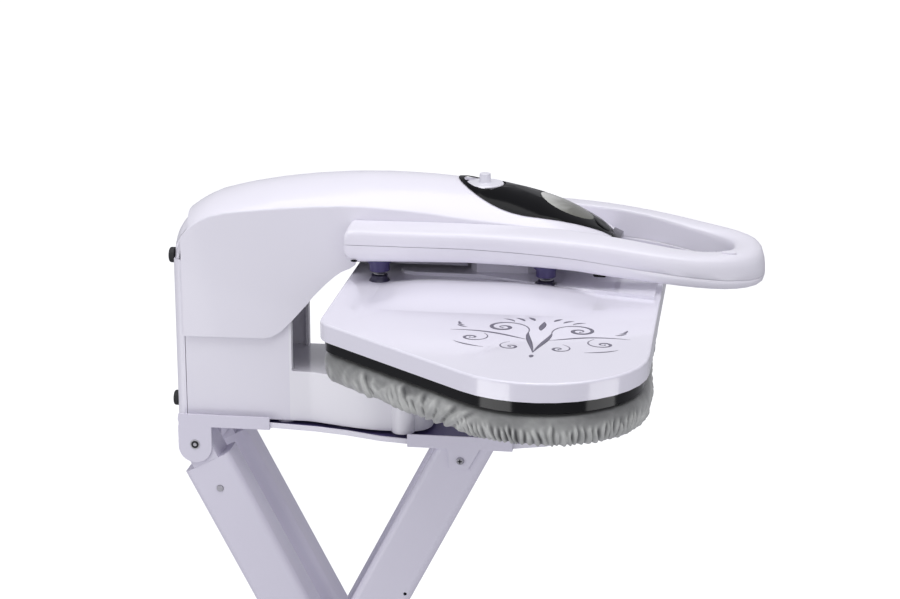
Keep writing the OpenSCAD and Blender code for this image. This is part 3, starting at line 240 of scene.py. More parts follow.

# Pedestal and housing
# One ABS moulding makes the two cheeks that carry the hinge and the low housing before them.
# Its deck is polished and mirrors the board; the low housing gets a lighter copy of the cheeks' plastic,
# painted light where the plate above shades it.
housing = smooth_copy("base_housing", "base", body_plastic, bevel=0.0005)
deck_gloss = moulded("lilac_white_polished", lilac_white, rough=0.09, grain=0.0, coat=0.8)
housing_painted_light = moulded("lilac_white_painted_light", (0.86, 0.845, 0.90), rough=0.30, grain=0.03, coat=0.12)
deck_level = 0.791
housing_top = 0.80
seam_back = 0.002
cheek_front = max(vertex.co.x for vertex in housing.data.vertices if vertex.co.z > housing_top)
seam = cheek_front - seam_back
work = bmesh.new()
work.from_mesh(housing.data)
bmesh.ops.bisect_plane(work, geom=work.verts[:] + work.edges[:] + work.faces[:],
                       plane_co=(seam, 0, 0), plane_no=(1, 0, 0))
work.to_mesh(housing.data)
work.free()
repaint(housing, deck_gloss,
        lambda face: face.normal.z > 0.95 and abs(face.center.z - deck_level) < 0.002)
# Painted light: the low housing before the cheeks is coloured lighter than the same plastic on the
# cheeks.
repaint(housing, housing_painted_light, lambda face: face.material_index == 0 and face.center.x > seam)

# Rear cover
# A narrow moulded cover closes the back of the pedestal and curls over the hinge as a drum,
# which the hood slides over. It clips to the two cheeks and carries the bumpers.
smooth_copy("rear_cover", "base", body_plastic)

# Bumpers and cord inlet
# Four soft rubber buttons keep the rear wall off a wall or floor, and a rubber grommet
# guards the cord's way into the base. Black natural rubber, pushed into holes.
rubber = moulded("black_rubber", (0.016, 0.016, 0.018), rough=0.62, grain=0.25, speck=0.15)
smooth_copy("rear_bumpers", "base", rubber, bevel=0.0006)
smooth_copy("cord_gland", "base", rubber, bevel=0.0004)

# Stand brackets and legs
# Folded steel brackets are screwed under the tray; oval steel tubes make the crossed legs.
# All of it is powder coated, with the fine orange peel of sprayed powder.


def leg_frame(node):
    return node.split("_")[0] + "_legs"


stand_paint = moulded("lilac_powder_coat", (0.71, 0.685, 0.79), rough=0.38, grain=0.16)
for node in ("rear_brackets", "front_brackets"):
    smooth_copy(node, "base", stand_paint, bevel=0.0004)
for node in ("rear_leg_left", "rear_leg_right", "front_leg_left", "front_leg_right",
             "rear_foot_bar", "front_foot_bar", "rear_brace", "front_brace"):
    smooth_copy(node, leg_frame(node), stand_paint)

# Leg plugs
# Solid moulded plugs close the tops of the rear legs and take the pins of the brackets.
# Glass-filled nylon in the colour of the legs, a touch duller than the paint.
plug_nylon = moulded("lilac_nylon", (0.66, 0.635, 0.74), rough=0.5, grain=0.12)
smooth_copy("rear_leg_plugs", "rear_legs", plug_nylon, bevel=0.0006)

# Floor bar caps
# Pushed-on rubber caps carry the stand on the floor, each with a small flat.
# They are the same black rubber as the bumpers.
for node in ("rear_foot_caps", "front_foot_caps"):
    smooth_copy(node, leg_frame(node), rubber, bevel=0.0008)

# Pins, bolts and screws
# Zinc-plated steel: leg pins, scissor bolts, lock screws, rivets, hinge shaft and small screws.
# Turned or headed parts, with faint rings left by the tool; rubber bushes part the crossed legs.


def plated(name, colour, rough):
    material, tree, shader = shaded(name)
    shader.inputs["Metallic"].default_value = 1.0
    place = add(tree, "ShaderNodeTexCoord")
    stretch = add(tree, "ShaderNodeMapping", (("Scale", (400, 60, 400)),))
    lines = add(tree, "ShaderNodeTexNoise", (("Scale", 6.0), ("Detail", 5.0)))
    tint = ramp(tree, [c * 0.82 for c in colour], colour)
    sheen = between(tree, rough * 0.8, rough * 1.3)
    wire(tree, (place, "Object", stretch, "Vector"), (stretch, "Vector", lines, "Vector"),
         (lines, "Fac", tint, "Fac"), (tint, "Color", shader, "Base Color"),
         (lines, "Fac", sheen, "Value"), (sheen, "Result", shader, "Roughness"))
    return material


zinc = plated("zinc_plate", (0.50, 0.49, 0.53), rough=0.3)
for node, body in (("rear_leg_pins", "base"), ("lock_screws", "base"), ("bracket_screws", "base"),
                   ("leg_rivets", "rear_legs"), ("scissor_bolts", "rear_legs"),
                   ("hood_screws", "head"), ("hinge_shaft", "head")):
    smooth_copy(node, body, zinc)
smooth_copy("scissor_bushes", "front_legs", rubber)

# Board
# A perforated steel board with a turned-up edge lets the steam through.
# Pressed sheet, painted pale grey on both sides.
board_paint = moulded("pale_grey_enamel", (0.55, 0.55, 0.58), rough=0.4, grain=0.06)
finish_node("board_plate", board_paint)

# Pad
# An open-cell foam pad lies on the board under the cloth.
# Cut foam, drawn in at its edge by the cover.
foam = moulded("cream_foam", (0.72, 0.66, 0.50), rough=0.9, grain=0.9, speck=0.08)
pad = smooth_copy("board_pad", "base", foam)

# Cloth cover
# Silver aluminised cotton, drawn over pad and board by a cord in its hem.
# The cord gathers the edge in close, leaning folds that fade out towards the top.
shift_x, shift_y, lift_z = -0.1898949, 0.0425, 0.740
plate_rear, plate_front, near_length, far_length = 0.158, 0.426, 0.325, 0.240
end_radius, corner_radius, corner_y = 0.083, 0.028, 0.178
end_steps, corner_steps = 40, 20


def plate_path(step):
    a = Vector((plate_rear + corner_radius, corner_y))
    b = Vector((plate_front - end_radius, near_length - end_radius))
    lean = math.atan2(b.y - a.y, b.x - a.x)
    turn = lean + math.acos((corner_radius - end_radius) / (b - a).length)
    half = [b + end_radius * Vector((math.cos(t), math.sin(t)))
            for t in (turn * i / end_steps for i in range(end_steps + 1))]
    half += [a + corner_radius * Vector((math.cos(t), math.sin(t)))
             for t in (turn + (math.pi - turn) * i / corner_steps for i in range(corner_steps + 1))]
    full = [Vector((p.x, p.y - near_length + far_length)) for p in half]
    full += [Vector((p.x, -p.y)) for p in reversed(half)]
    run = [0.0]
    for i in range(len(full)):
        run.append(run[-1] + (full[(i + 1) % len(full)] - full[i]).length)
    count = int(run[-1] / step)
    points, k = [], 0
    for i in range(count):
        s = run[-1] * i / count
        while run[k + 1] < s:
            k += 1
        share = (s - run[k]) / (run[k + 1] - run[k])
        points.append(full[k].lerp(full[(k + 1) % len(full)], share))
    return points, run


def clamped(value):
    return min(1.0, max(0.0, value))


edge_points, run = plate_path(step=0.00085)
columns = len(edge_points)
edge_length = run[-1]
half_count = end_steps + corner_steps + 2
side_start = run[half_count + corner_steps]
side_end = run[half_count + corner_steps + 1]
end_finish = run[2 * half_count - 1]

pad_top = 0.117
profile = [  # inset, height, share of the folds
    (0.0300, -0.0001, 0.0), (0.0180, -0.0002, 0.0), (0.0120, -0.0004, 0.04), (0.0088, -0.0010, 0.10),
    (0.0066, -0.0019, 0.18), (0.0049, -0.0031, 0.28), (0.0037, -0.0046, 0.40), (0.0029, -0.0062, 0.52),
    (0.0025, -0.0079, 0.64), (0.0023, -0.0097, 0.74), (0.0023, -0.0115, 0.84), (0.0024, -0.0133, 0.92),
    (0.0026, -0.0151, 0.98), (0.0029, -0.0169, 1.0), (0.0033, -0.0187, 1.0), (0.0038, -0.0204, 1.0),
    (0.0045, -0.0220, 1.0), (0.0054, -0.0235, 1.0), (0.0066, -0.0247, 0.95), (0.0084, -0.0255, 0.8),
    (0.0112, -0.0253, 0.5), (0.0145, -0.0244, 0.35), (0.0180, -0.0238, 0.2)]
rows = len(profile)
hem_drop = 0.0255
first_hem_row = 20

side_folds = [  # share of the side, lean in mm, width in mm, share of the drop at its top, height
    (0.10, -3, 4.5, 0.45, 0.35), (0.19, -4, 3.0, 0.55, 0.5), (0.275, -7, 3.0, 0.08, 1.9),
    (0.31, -6, 1.8, 0.5, 1.0), (0.43, -6, 3.0, 0.35, 0.8), (0.475, -7, 2.4, 0.30, 1.5),
    (0.52, -9, 2.4, 0.12, 1.4), (0.575, -9, 2.8, 0.08, 1.9), (0.62, -4, 2.0, 0.45, 1.2),
    (0.665, 4, 3.2, 0.10, 1.9), (0.72, 16, 3.4, 0.08, 1.9), (0.78, 26, 3.6, 0.05, 2.0),
    (0.85, 36, 4.2, 0.05, 1.8), (0.94, 26, 5.0, 0.30, 0.7)]
folds = [(side_start + share * (side_end - side_start), *fold) for share, *fold in side_folds]
chance = random.Random(7)
close_folds_end = end_finish + 0.16
loose_folds_end = edge_length + side_start - 0.004
calm_start = edge_length + side_start - 0.075
at = side_end - 0.006
while at < close_folds_end:
    lean = -8 + 13 * min(1.0, (at - side_end) / (end_finish - side_end))
    folds.append((at, lean + chance.uniform(-1.5, 1.5), chance.uniform(1.2, 2.0),
                  chance.uniform(0.22, 0.48), chance.uniform(1.0, 2.1)))
    at += chance.uniform(0.0040, 0.0068)
while at < loose_folds_end:
    calm = 0.3 if at > calm_start else 1
    folds.append((at, chance.uniform(-9, 9), chance.uniform(1.8, 3.4),
                  chance.uniform(0.1, 0.6), chance.uniform(0.6, 1.5) * calm))
    at += chance.uniform(0.0055, 0.0110)

fade_length = 0.32
fold_reach = 3.4
steep_flank, gentle_flank = 0.62, 1.15
valley_place, valley_width, valley_share = 1.5, 0.8, 0.5
wander, wander_turns = 0.0007, 900
heights_per_metre = 800
depths = [[0.0] * rows for _ in range(columns)]
for at, lean, width, top, height in folds:
    reach = fold_reach * width / 1000
    for j, (_, level, _) in enumerate(profile):
        drop = min(1.0, -level / hem_drop) if j < first_hem_row else 1.0
        grow = clamped((drop - top) / fade_length)
        grow = grow * grow * (3 - 2 * grow)
        if grow <= 0.0:
            continue
        centre = at + lean / 1000 * (1 - drop) + wander * math.sin(8 * drop + at * wander_turns)
        first = int((centre - reach) / edge_length * columns)
        last = int((centre + reach) / edge_length * columns)
        for i in range(first, last + 1):
            u = (i / columns * edge_length - centre) / width * 1000
            ridge = math.exp(-(u / (steep_flank if u > 0 else gentle_flank)) ** 2)
            valley = math.exp(-((u - valley_place) / valley_width) ** 2)
            depths[i % columns][j] += height / heights_per_metre * grow * (ridge - valley_share * valley)


def soft_side(here):
    rise_length = 0.55 * (side_end - side_start)
    fall_length = 0.03
    rise = clamped((here - side_start) / rise_length)
    return rise * clamped((side_end + 0.005 - here) / fall_length)


# Ridged noise: crumples run aslant down the drop, broad ones and sharper small ones.
def crumple_ridge(x, y, layer):
    return max(0.0, 1 - 2.6 * abs(noise.noise(Vector((x, y, layer)))))


near_from, near_fade = -0.110, 0.12
near_forward, far_back = 0.0030, 0.0022
slow_waves, quick_waves = 26, 240
drawn_in, slow_depth, quick_depth = 0.0009, 0.0011, 0.0003
hem_sag, sideways = 0.0012, 0.0008
least_crumple, more_crumple, broad_depth, sharp_depth = 0.22, 0.85, 1.3, 0.7
# Painted light and shade on the cloth, kept per point: a painted shadow along the top at the near end,
# lighter rows towards the hem there, painted highlights on fold ridges with painted shade in their
# valleys, and lighter and darker patches following the slow waves.
flat_light, fold_light, wave_light, hem_light = 0.36, 330, 0.25, 0.10
top_shadow, shadow_length = 0.34, 0.48
cloth_vertices, cloth_faces, painted_light_and_shade = [], [], []
for i, p in enumerate(edge_points):
    along = (edge_points[(i + 1) % columns] - edge_points[i - 1]).normalized()
    outward = Vector((along.y, -along.x))
    here = i / columns * edge_length
    near = clamped((near_from - p.y) / near_fade)
    forward = (near_forward * near - far_back * (1 - near)) * max(0.0, outward.x)
    crumpled = least_crumple + more_crumple * soft_side(here)
    for j, (inset, level, amount) in enumerate(profile):
        t = j / (rows - 1)
        slow = noise.noise(Vector((p.x * slow_waves, p.y * slow_waves, t * 1.6)))
        quick = noise.noise(Vector((p.x * quick_waves, p.y * quick_waves, t * 8)))
        broad = crumple_ridge(here * 62 + t * 2.2, t * 2.4 - here * 14, 3.7)
        sharp = crumple_ridge(here * 95 - t * 3.0, t * 3.1 + here * 20, 9.1)
        crumple = (broad_depth * broad ** 2 + sharp_depth * sharp ** 2) / 1000 * crumpled
        fold = depths[i][j] + crumple
        push = amount * (fold - drawn_in + slow_depth * slow + quick_depth * quick)
        q = p + outward * (-inset + forward + push) + along * sideways * slow * t
        sag = hem_sag * t ** 6 * (slow * 1.5 + fold * 600 - 0.3)
        cloth_vertices.append((q.x + shift_x, q.y + shift_y, pad_top + level + lift_z - sag))
        shadow = top_shadow * near * max(0.0, 1 - t / shadow_length)
        light = flat_light - shadow + hem_light * near * t
        painted_light_and_shade.append(clamped(light + fold_light * fold * amount + wave_light * slow * amount))
for i in range(columns):
    for j in range(rows - 1):
        a, b = i * rows + j, ((i + 1) % columns) * rows + j
        cloth_faces.append((a, a + 1, b + 1, b))

cloth_top = pad_top + lift_z
middle = Vector((0.29 + shift_x, shift_y - 0.04))
ring_start = len(cloth_vertices)
for i in range(columns):
    x, y, _ = cloth_vertices[i * rows]
    cloth_vertices.append((middle.x + (x - middle.x) / 2, middle.y + (y - middle.y) / 2, cloth_top))
cloth_vertices.append((middle.x, middle.y, cloth_top))
painted_light_and_shade += [0.5] * (columns + 1)
for i in range(columns):
    k = (i + 1) % columns
    cloth_faces.append((i * rows, k * rows, ring_start + k, ring_start + i))
for i in range(columns):
    cloth_faces.append((ring_start + i, ring_start + (i + 1) % columns, ring_start + columns))

cloth_mesh = bpy.data.meshes.new("cloth_cover")
cloth_mesh.from_pydata(cloth_vertices, [], cloth_faces)
cloth_mesh.attributes.new("painted_light_and_shade", "FLOAT", "POINT").data.foreach_set("value", painted_light_and_shade)
work = bmesh.new()
work.from_mesh(cloth_mesh)
bmesh.ops.recalc_face_normals(work, faces=work.faces)
top_faces = [face for face in work.faces if face.calc_center_median().z > cloth_top - 0.001]
if sum(face.normal.z * face.calc_area() for face in top_faces) < 0:
    bmesh.ops.reverse_faces(work, faces=work.faces)
uv = work.loops.layers.uv.new("weave")
for face in work.faces:
    steep = abs(face.normal.z) < 0.7
    fore_and_aft = abs(face.normal.x) > abs(face.normal.y)
    for loop in face.loops:
        x, y, z = loop.vert.co
        if not steep:
            loop[uv].uv = (x, y)
        elif fore_and_aft:
            loop[uv].uv = (y + x * 0.3, z)
        else:
            loop[uv].uv = (x, z)
work.to_mesh(cloth_mesh)
work.free()
cloth_mesh.polygons.foreach_set("use_smooth", [True] * len(cloth_mesh.polygons))
cloth_cover = put("cloth_cover", cloth_mesh)
wall = cloth_cover.modifiers.new("thickness", "SOLIDIFY")
wall.thickness = 0.0005
wall.offset = -1.0


def silver_cotton():
    material, tree, shader = shaded("silver_cotton")
    shader.inputs["Metallic"].default_value = 0.50
    shader.inputs["Sheen Weight"].default_value = 0.2
    place = add(tree, "ShaderNodeUVMap")
    place.uv_map = "weave"
    thread_pitch = (("Scale", 700.0), ("Distortion", 0.6))
    warp = add(tree, "ShaderNodeTexWave", thread_pitch)
    warp.bands_direction = "X"
    weft = add(tree, "ShaderNodeTexWave", thread_pitch)
    weft.bands_direction = "Y"
    weave = add(tree, "ShaderNodeMath")
    weave.operation = "MAXIMUM"
    solid = add(tree, "ShaderNodeTexCoord")
    blot = add(tree, "ShaderNodeTexNoise", (("Scale", 60.0), ("Detail", 6.0)))
    tint = ramp(tree, (0.47, 0.475, 0.462), (0.60, 0.605, 0.59), start=0.35, end=0.7)
    # The point values carry the painted light and shade of the cloth and darken or lighten its colour.
    depth = add(tree, "ShaderNodeAttribute")
    depth.attribute_name = "painted_light_and_shade"
    shade = ramp(tree, (0.22, 0.22, 0.23), (1, 1, 1), start=0.08, end=0.62)
    darker = add(tree, "ShaderNodeMix", ((0, 1.0),))
    darker.data_type = "RGBA"
    darker.blend_type = "MULTIPLY"
    sheen = between(tree, 0.32, 0.46)
    bump = add(tree, "ShaderNodeBump", (("Strength", 0.3), ("Distance", 0.0003)))
    wire(tree, (place, "UV", warp, "Vector"), (place, "UV", weft, "Vector"),
         (warp, "Fac", weave, 0), (weft, "Fac", weave, 1),
         (solid, "Object", blot, "Vector"), (blot, "Fac", tint, "Fac"),
         (depth, "Fac", shade, "Fac"), (tint, "Color", darker, 6), (shade, "Color", darker, 7),
         (darker, 2, shader, "Base Color"),
         (weave, 0, sheen, "Value"), (sheen, "Result", shader, "Roughness"),
         (weave, 0, bump, "Height"), (bump, "Normal", shader, "Normal"))
    return material


cloth_mesh.materials.append(silver_cotton())
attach(cloth_cover, "base")
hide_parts("board_cover")

# Hem stitches
# The cloth's hem is a turned tunnel for its cord, sewn with one row of grey thread.
# The thread lies on the cloth's turned-in edge, so it is seen only from below.


def new_tree(name, sizes):
    tree = bpy.data.node_groups.new(name, "GeometryNodeTree")
    tree.interface.new_socket("Geometry", in_out="INPUT", socket_type="NodeSocketGeometry")
    for size in sizes:
        tree.interface.new_socket(size, in_out="INPUT", socket_type="NodeSocketFloat")
    tree.interface.new_socket("Geometry", in_out="OUTPUT", socket_type="NodeSocketGeometry")
    return tree


def end_tree(tree, last, outlet, material):
    real = add(tree, "GeometryNodeRealizeInstances")
    paint = add(tree, "GeometryNodeSetMaterial", (("Material", material),))
    sink = add(tree, "NodeGroupOutput")
    wire(tree, (last, outlet, real, "Geometry"), (real, "Geometry", paint, "Geometry"),
         (paint, "Geometry", sink, "Geometry"))


def grown(piece, tree, sizes, body):
    modifier = piece.modifiers.new("nodes", "NODES")
    modifier.node_group = tree
    for socket in tree.interface.items_tree:
        if socket.name in sizes:
            modifier[socket.identifier] = sizes[socket.name]
    view = bpy.context.evaluated_depsgraph_get()
    mesh = bpy.data.meshes.new_from_object(piece.evaluated_get(view))
    piece.modifiers.remove(modifier)
    piece.data = mesh
    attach(piece, body)


hem_row = 21
thread_drop = Vector((0, 0, 0.0012))
hem_points = [Vector(cloth_vertices[i * rows + hem_row]) - thread_drop for i in range(0, columns, 3)]
hem_edges = [(i, (i + 1) % len(hem_points)) for i in range(len(hem_points))]
hem_mesh = bpy.data.meshes.new("hem_line")
hem_mesh.from_pydata(hem_points, hem_edges, [])
hem = put("hem_stitches", hem_mesh)
thread = moulded("grey_thread", (0.33, 0.33, 0.34), rough=0.75, grain=0.4, speck=0.12)
stitch_sizes = {"Pitch": 0.0042, "Stitch length": 0.0027, "Thread radius": 0.0003}
stitching = new_tree("stitching", stitch_sizes)
source = add(stitching, "NodeGroupInput")
curve = add(stitching, "GeometryNodeMeshToCurve")
spots = add(stitching, "GeometryNodeCurveToPoints")
spots.mode = "LENGTH"
stitch = add(stitching, "GeometryNodeMeshCylinder", (("Vertices", 6),))
placed = add(stitching, "GeometryNodeInstanceOnPoints")
wire(stitching, (source, "Geometry", curve, "Mesh"), (curve, "Curve", spots, "Curve"),
     (source, "Pitch", spots, "Length"), (source, "Thread radius", stitch, "Radius"),
     (source, "Stitch length", stitch, "Depth"), (spots, "Points", placed, "Points"),
     (spots, "Rotation", placed, "Rotation"), (stitch, "Mesh", placed, "Instance"))
end_tree(stitching, placed, "Instances", thread)
grown(hem, stitching, stitch_sizes, "base")

# Hood
# One moulded shell covers the arm and the tank; its sides come down over the pedestal.
# Pale ABS with a satin gloss, screwed to the arm from below.
head_plastic = moulded("lilac_white_satin", lilac_white, rough=0.30, grain=0.03, coat=0.2)
hood = smooth_copy("hood_cover", "head", head_plastic, angle=40)

# Handle
# Upper and lower shells meet in a fine parting line and make two rails and a front loop.
# The same plastic, with a softer gloss where hands hold it. On the inside of rails and loop the
# parting line runs low, and the loop's wall is a little thicker than in the solids.
grip_plastic = moulded("lilac_white_grip", lilac_white, rough=0.34, grain=0.05, coat=0.1)
part_line = ((159, 176.2), (268, 176.2), (307, 174.3), (349, 171.4), (391, 165.8), (425, 160.6),
             (455, 155), (480, 150), (497, 145.5), (520, 145.5))
low_line = ((159, 166.5), (160.2, 164.5), (163, 162.4), (168, 161), (216, 162.4), (268, 163.4),
            (313, 162), (350, 160.2), (377, 156.8), (405, 153.8), (425, 151), (446, 147.4),
            (473, 142.6), (497, 138.4), (520, 138.4))
rail_start, rail_outside, rail_width, loop_width = 170, 78, 16, 12
narrowing_start, narrowing_length = 336, 49
loop_start, loop_half, loop_length, loop_power, loop_tip = 385, 66, 111.5, 2.35, 496
inner_seam_up, seam_gap = 4, 0.15
thicker, thick_start, thick_rise, thick_finish, thick_fall = 5.0, 340, 45, 488, 40


def spot(x, y, z):
    return Vector((x / 1000 + shift_x, y / 1000 + shift_y, z / 1000 + lift_z))


def in_millimetres(place):
    return (place.x - shift_x) * 1000, (place.y - shift_y) * 1000, (place.z - lift_z) * 1000


def along_line(x, table):
    for (x0, z0), (x1, z1) in zip(table, table[1:]):
        if x <= x1:
            return z0 + (z1 - z0) * max(0.0, x - x0) / (x1 - x0)


def loop_centre(x):
    share = (min(x, loop_tip + 0.4) - loop_start) ** loop_power / loop_length ** loop_power
    return loop_half * max(0.0, 1 - share) ** (1 / loop_power)


for node in ("handle_upper", "handle_lower"):
    shell = smooth_copy(node, "head", grip_plastic, angle=50)
    for vertex in shell.data.vertices:
        x, y, z = in_millimetres(vertex.co)
        narrowed = clamped((x - narrowing_start) / narrowing_length)
        width = rail_width - (rail_width - loop_width) * narrowed
        centre = loop_centre(x) if x > loop_start else rail_outside - width
        if abs(y) >= centre or x > loop_tip:
            continue
        inner_seam = along_line(max(x, rail_start), low_line) + inner_seam_up
        if x > rail_start + 2:
            if node == "handle_upper" and z < along_line(x, part_line) + 0.5:
                z = inner_seam + seam_gap
            elif node == "handle_lower":
                z = min(z, inner_seam - seam_gap)
        inward = clamped((x - thick_start) / thick_rise) * clamped((thick_finish - x) / thick_fall)
        y -= math.copysign(thicker * inward * min(1.0, (centre - abs(y)) / width), y)
        vertex.co = spot(x, y, z)

# Under cover
# A flat pale cover closes the head from below, screwed between the rails.
# Its front wall takes the console's gloss black as painted shade, for the shadow under the rails.
gloss_black = moulded("black_gloss_abs", (0.005, 0.005, 0.006), rough=0.10, grain=0.01, speck=0.2,
                      gloss=0.10)
front_wall = 0.18
under_cover = smooth_copy("head_under_cover", "head", head_plastic)
# Painted shade: the front faces of the under cover are coloured black.
repaint(under_cover, gloss_black, lambda face: face.normal.x > 0.8 and face.center.x > front_wall)

# Lock button
# A small moulded slide in a pocket of the handle holds the closed head down.
# It is moulded in the plastic of the handle.
smooth_copy("lock_button", "head", grip_plastic, bevel=0.0003)

# Rail details
# A vent mark shows at the near rail's rear and a dark oval catch under its front part.
# Small moulded pieces of black plastic, pressed into the lower shell.


def turned(name, outline, centre, axis, body, material, stretch=(1, 1)):
    count = 40
    up = Vector(axis).normalized()
    side = Vector((1, 0, 0))
    across = up.cross(side)
    work = bmesh.new()
    rings = []
    for radius, height in outline:
        rings.append([work.verts.new(Vector(centre) + up * height
                                     + side * radius * stretch[0] * math.cos(2 * math.pi * i / count)
                                     + across * radius * stretch[1] * math.sin(2 * math.pi * i / count))
                      for i in range(count)])
    for low, high in zip(rings, rings[1:]):
        for i in range(count):
            k = (i + 1) % count
            work.faces.new((low[i], low[k], high[k], high[i]))
    work.faces.new(list(reversed(rings[0])))
    work.faces.new(rings[-1])
    bmesh.ops.recalc_face_normals(work, faces=work.faces)
    mesh = bpy.data.meshes.new(name)
    work.to_mesh(mesh)
    work.free()
    mesh.materials.append(material)
    smooth(mesh, 35)
    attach(put(name, mesh), body)


turned("rail_catch", [(0.0055, 0.0), (0.0055, 0.0030), (0.0044, 0.0040)], spot(374, -70, 158.2),
       (0, -0.35, -1), "head", gloss_black, stretch=(1.0, 0.55))
turned("rail_mark", [(0.0019, 0.0), (0.0017, 0.0007)], spot(167, -77.2, 162.6),
       (0, -1, -0.3), "head", gloss_black, stretch=(1.5, 0.5))

# Console
# A black gloss cap on the hood's front slope carries the window, the steam key and the filler.
# Polished black ABS, clipped into the hood; the hood's nose below its tip is black as well.
nose_start = 0.378 + shift_x
smooth_copy("console_panel", "head", gloss_black, angle=40)
repaint(hood, gloss_black, lambda face: face.normal.x > 0.35 and face.center.x > nose_start)
smooth_copy("steam_key", "steam_key", gloss_black, angle=40)

# Window
# A domed lens of smoked polycarbonate lies over the display board, clipped into the console.
# Its colour is painted near white at the rear as a painted reflection of the sky, and darker towards the
# console's tip, mottled by a faint haze.


def smoked_lens_painted_reflection():
    # Painted reflection: the base colour runs from near white at the rear to dark at the tip.
    light_end, dark_end = 0.112, 0.178
    material, tree, shader = shaded("clear_lens")
    shader.inputs["Transmission Weight"].default_value = 0.15
    shader.inputs["IOR"].default_value = 1.45
    place = add(tree, "ShaderNodeTexCoord")
    split = add(tree, "ShaderNodeSeparateXYZ")
    haze = add(tree, "ShaderNodeTexNoise", (("Scale", 45.0), ("Distortion", 1.5)))
    along = add(tree, "ShaderNodeMapRange", (("From Min", light_end), ("From Max", dark_end)))
    mixed = add(tree, "ShaderNodeMath", ((1, 0.35),))
    mixed.operation = "MULTIPLY_ADD"
    tint = ramp(tree, (0.96, 0.965, 0.94), (0.17, 0.17, 0.15), start=0.15, end=0.85)
    sheen = between(tree, 0.06, 0.16)
    wire(tree, (place, "Object", haze, "Vector"), (place, "Object", split, "Vector"),
         (split, "X", along, "Value"), (haze, "Fac", mixed, 0), (along, "Result", mixed, 2),
         (mixed, 0, tint, "Fac"), (tint, "Color", shader, "Base Color"),
         (haze, "Fac", sheen, "Value"), (sheen, "Result", shader, "Roughness"))
    return material


smooth_copy("console_window", "head", smoked_lens_painted_reflection(), angle=40)

# Filler plug
# A translucent white plug with a finger peg closes the tank.
# Polypropylene with a soft seal, pushed in by hand.
plug_white = moulded("translucent_white", (0.78, 0.77, 0.84), rough=0.3, grain=0.02, coat=0.3)
smooth_copy("filler_plug", "filler", plug_white, bevel=0.0003)

# Suspension
# Guides under the rails slide on bolts that stand on the plate, with springs between them.
# Dark plum glass-filled nylon round plated spring steel.
plum = moulded("plum_nylon", (0.050, 0.038, 0.135), rough=0.42, grain=0.08)
dark_plum = moulded("dark_plum_nylon", (0.022, 0.018, 0.05), rough=0.4, grain=0.08)
smooth_copy("suspension_guides", "head", plum)
smooth_copy("suspension_bolts", "plate", dark_plum)
finish_node("suspension_springs", zinc)

# Plate cover
# The press plate's moulded lid, with a raised saddle and two swellings beside the suspension.
# Polished pale ABS over the hot plate; its clear gloss shows the room in its edge.
plate_gloss = moulded("lilac_white_gloss", (0.80, 0.777, 0.875), rough=0.20, grain=0.01, coat=0.6)
smooth_copy("plate_cover", "plate", plate_gloss, angle=40)
smooth_copy("plate_neck", "plate", plate_gloss)
swell_line = ((189, 0), (193, 0.12), (203, 0.45), (209, 0.62), (215, 0.75), (223, 0.88), (231, 0.95),
              (241, 0.99), (255, 1), (272, 1), (290, 1), (301, 0.98), (311, 0.92), (320, 0.84),
              (330, 0.72), (340, 0.56), (348, 0.42), (356, 0.28), (364, 0.14), (374, 0))
swell_foot, swell_height, swell_reach, swell_steps = 141.97, 5.8, 82, 20
slant_x, slant_reach, slant_rate = 167.6, 35.5, 0.87
swell_rows = [(70.9, 0.0, 0.0), (71.1, 0.0, 0.9)]  # start beside the saddle, way out, height
swell_rows += [(71.8, v, (1 + math.cos(math.pi * v)) / 2)
               for v in (k / swell_steps for k in range(swell_steps + 1))]
for side, side_name in ((-1, "near"), (1, "far")):
    work = bmesh.new()
    rings = []
    for start, way_out, share in swell_rows:
        ring = []
        for x, rise in swell_line:
            slanted = min(swell_reach, slant_reach + slant_rate * (x - slant_x))
            reach = swell_reach if side < 0 else slanted
            place = spot(x, side * (start + reach * way_out), swell_foot + swell_height * rise * share)
            ring.append(work.verts.new(place))
        rings.append(ring)
    for low, high in zip(rings, rings[1:]):
        for i in range(len(low) - 1):
            work.faces.new((low[i], low[i + 1], high[i + 1], high[i]))
    bmesh.ops.recalc_face_normals(work, faces=work.faces)
    if sum(face.normal.z for face in work.faces) < 0:
        bmesh.ops.reverse_faces(work, faces=work.faces)
    mesh = bpy.data.meshes.new("plate_swelling_" + side_name)
    work.to_mesh(mesh)
    work.free()
    mesh.materials.append(plate_gloss)
    smooth(mesh, 50)
    swelling = put("plate_swelling_" + side_name, mesh)
    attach(swelling, "plate")

# Printed ornament
# A scroll of thin grey strokes is printed on the lid's near part, in a neutral design of its own.
# Ink lies a few hundredths of a millimetre proud of the plastic.
strokes = []


def scroll(cx, cy, big, small, start, turn, width, flip, squeeze=1.0):
    count = 46
    stroke = []
    for i in range(count):
        t = i / (count - 1)
        radius = big * (small / big) ** (t ** 0.85)
        angle = math.radians(start + turn * t)
        stroke.append((cx + flip * radius * math.cos(angle), cy + squeeze * radius * math.sin(angle),
                       width * (0.16 + 0.84 * math.sin(math.pi * min(1, 0.06 + t * 0.94)) ** 1.4)))
    strokes.append(stroke)
    x, y, _ = stroke[-1]
    strokes.append([(x - 0.9, y, 0.25), (x - 0.3, y, 1.1), (x + 0.3, y, 1.1), (x + 0.9, y, 0.25)])


def sweep(points, width, count=40):
    stroke = []
    for i in range(count):
        t = i / (count - 1)
        weights = ((1 - t) ** 3, 3 * t * (1 - t) ** 2, 3 * t * t * (1 - t), t ** 3)
        stroke.append((sum(weight * point[0] for weight, point in zip(weights, points)),
                       sum(weight * point[1] for weight, point in zip(weights, points)),
                       width * (0.14 + 0.86 * math.sin(math.pi * t) ** 0.9)))
    strokes.append(stroke)


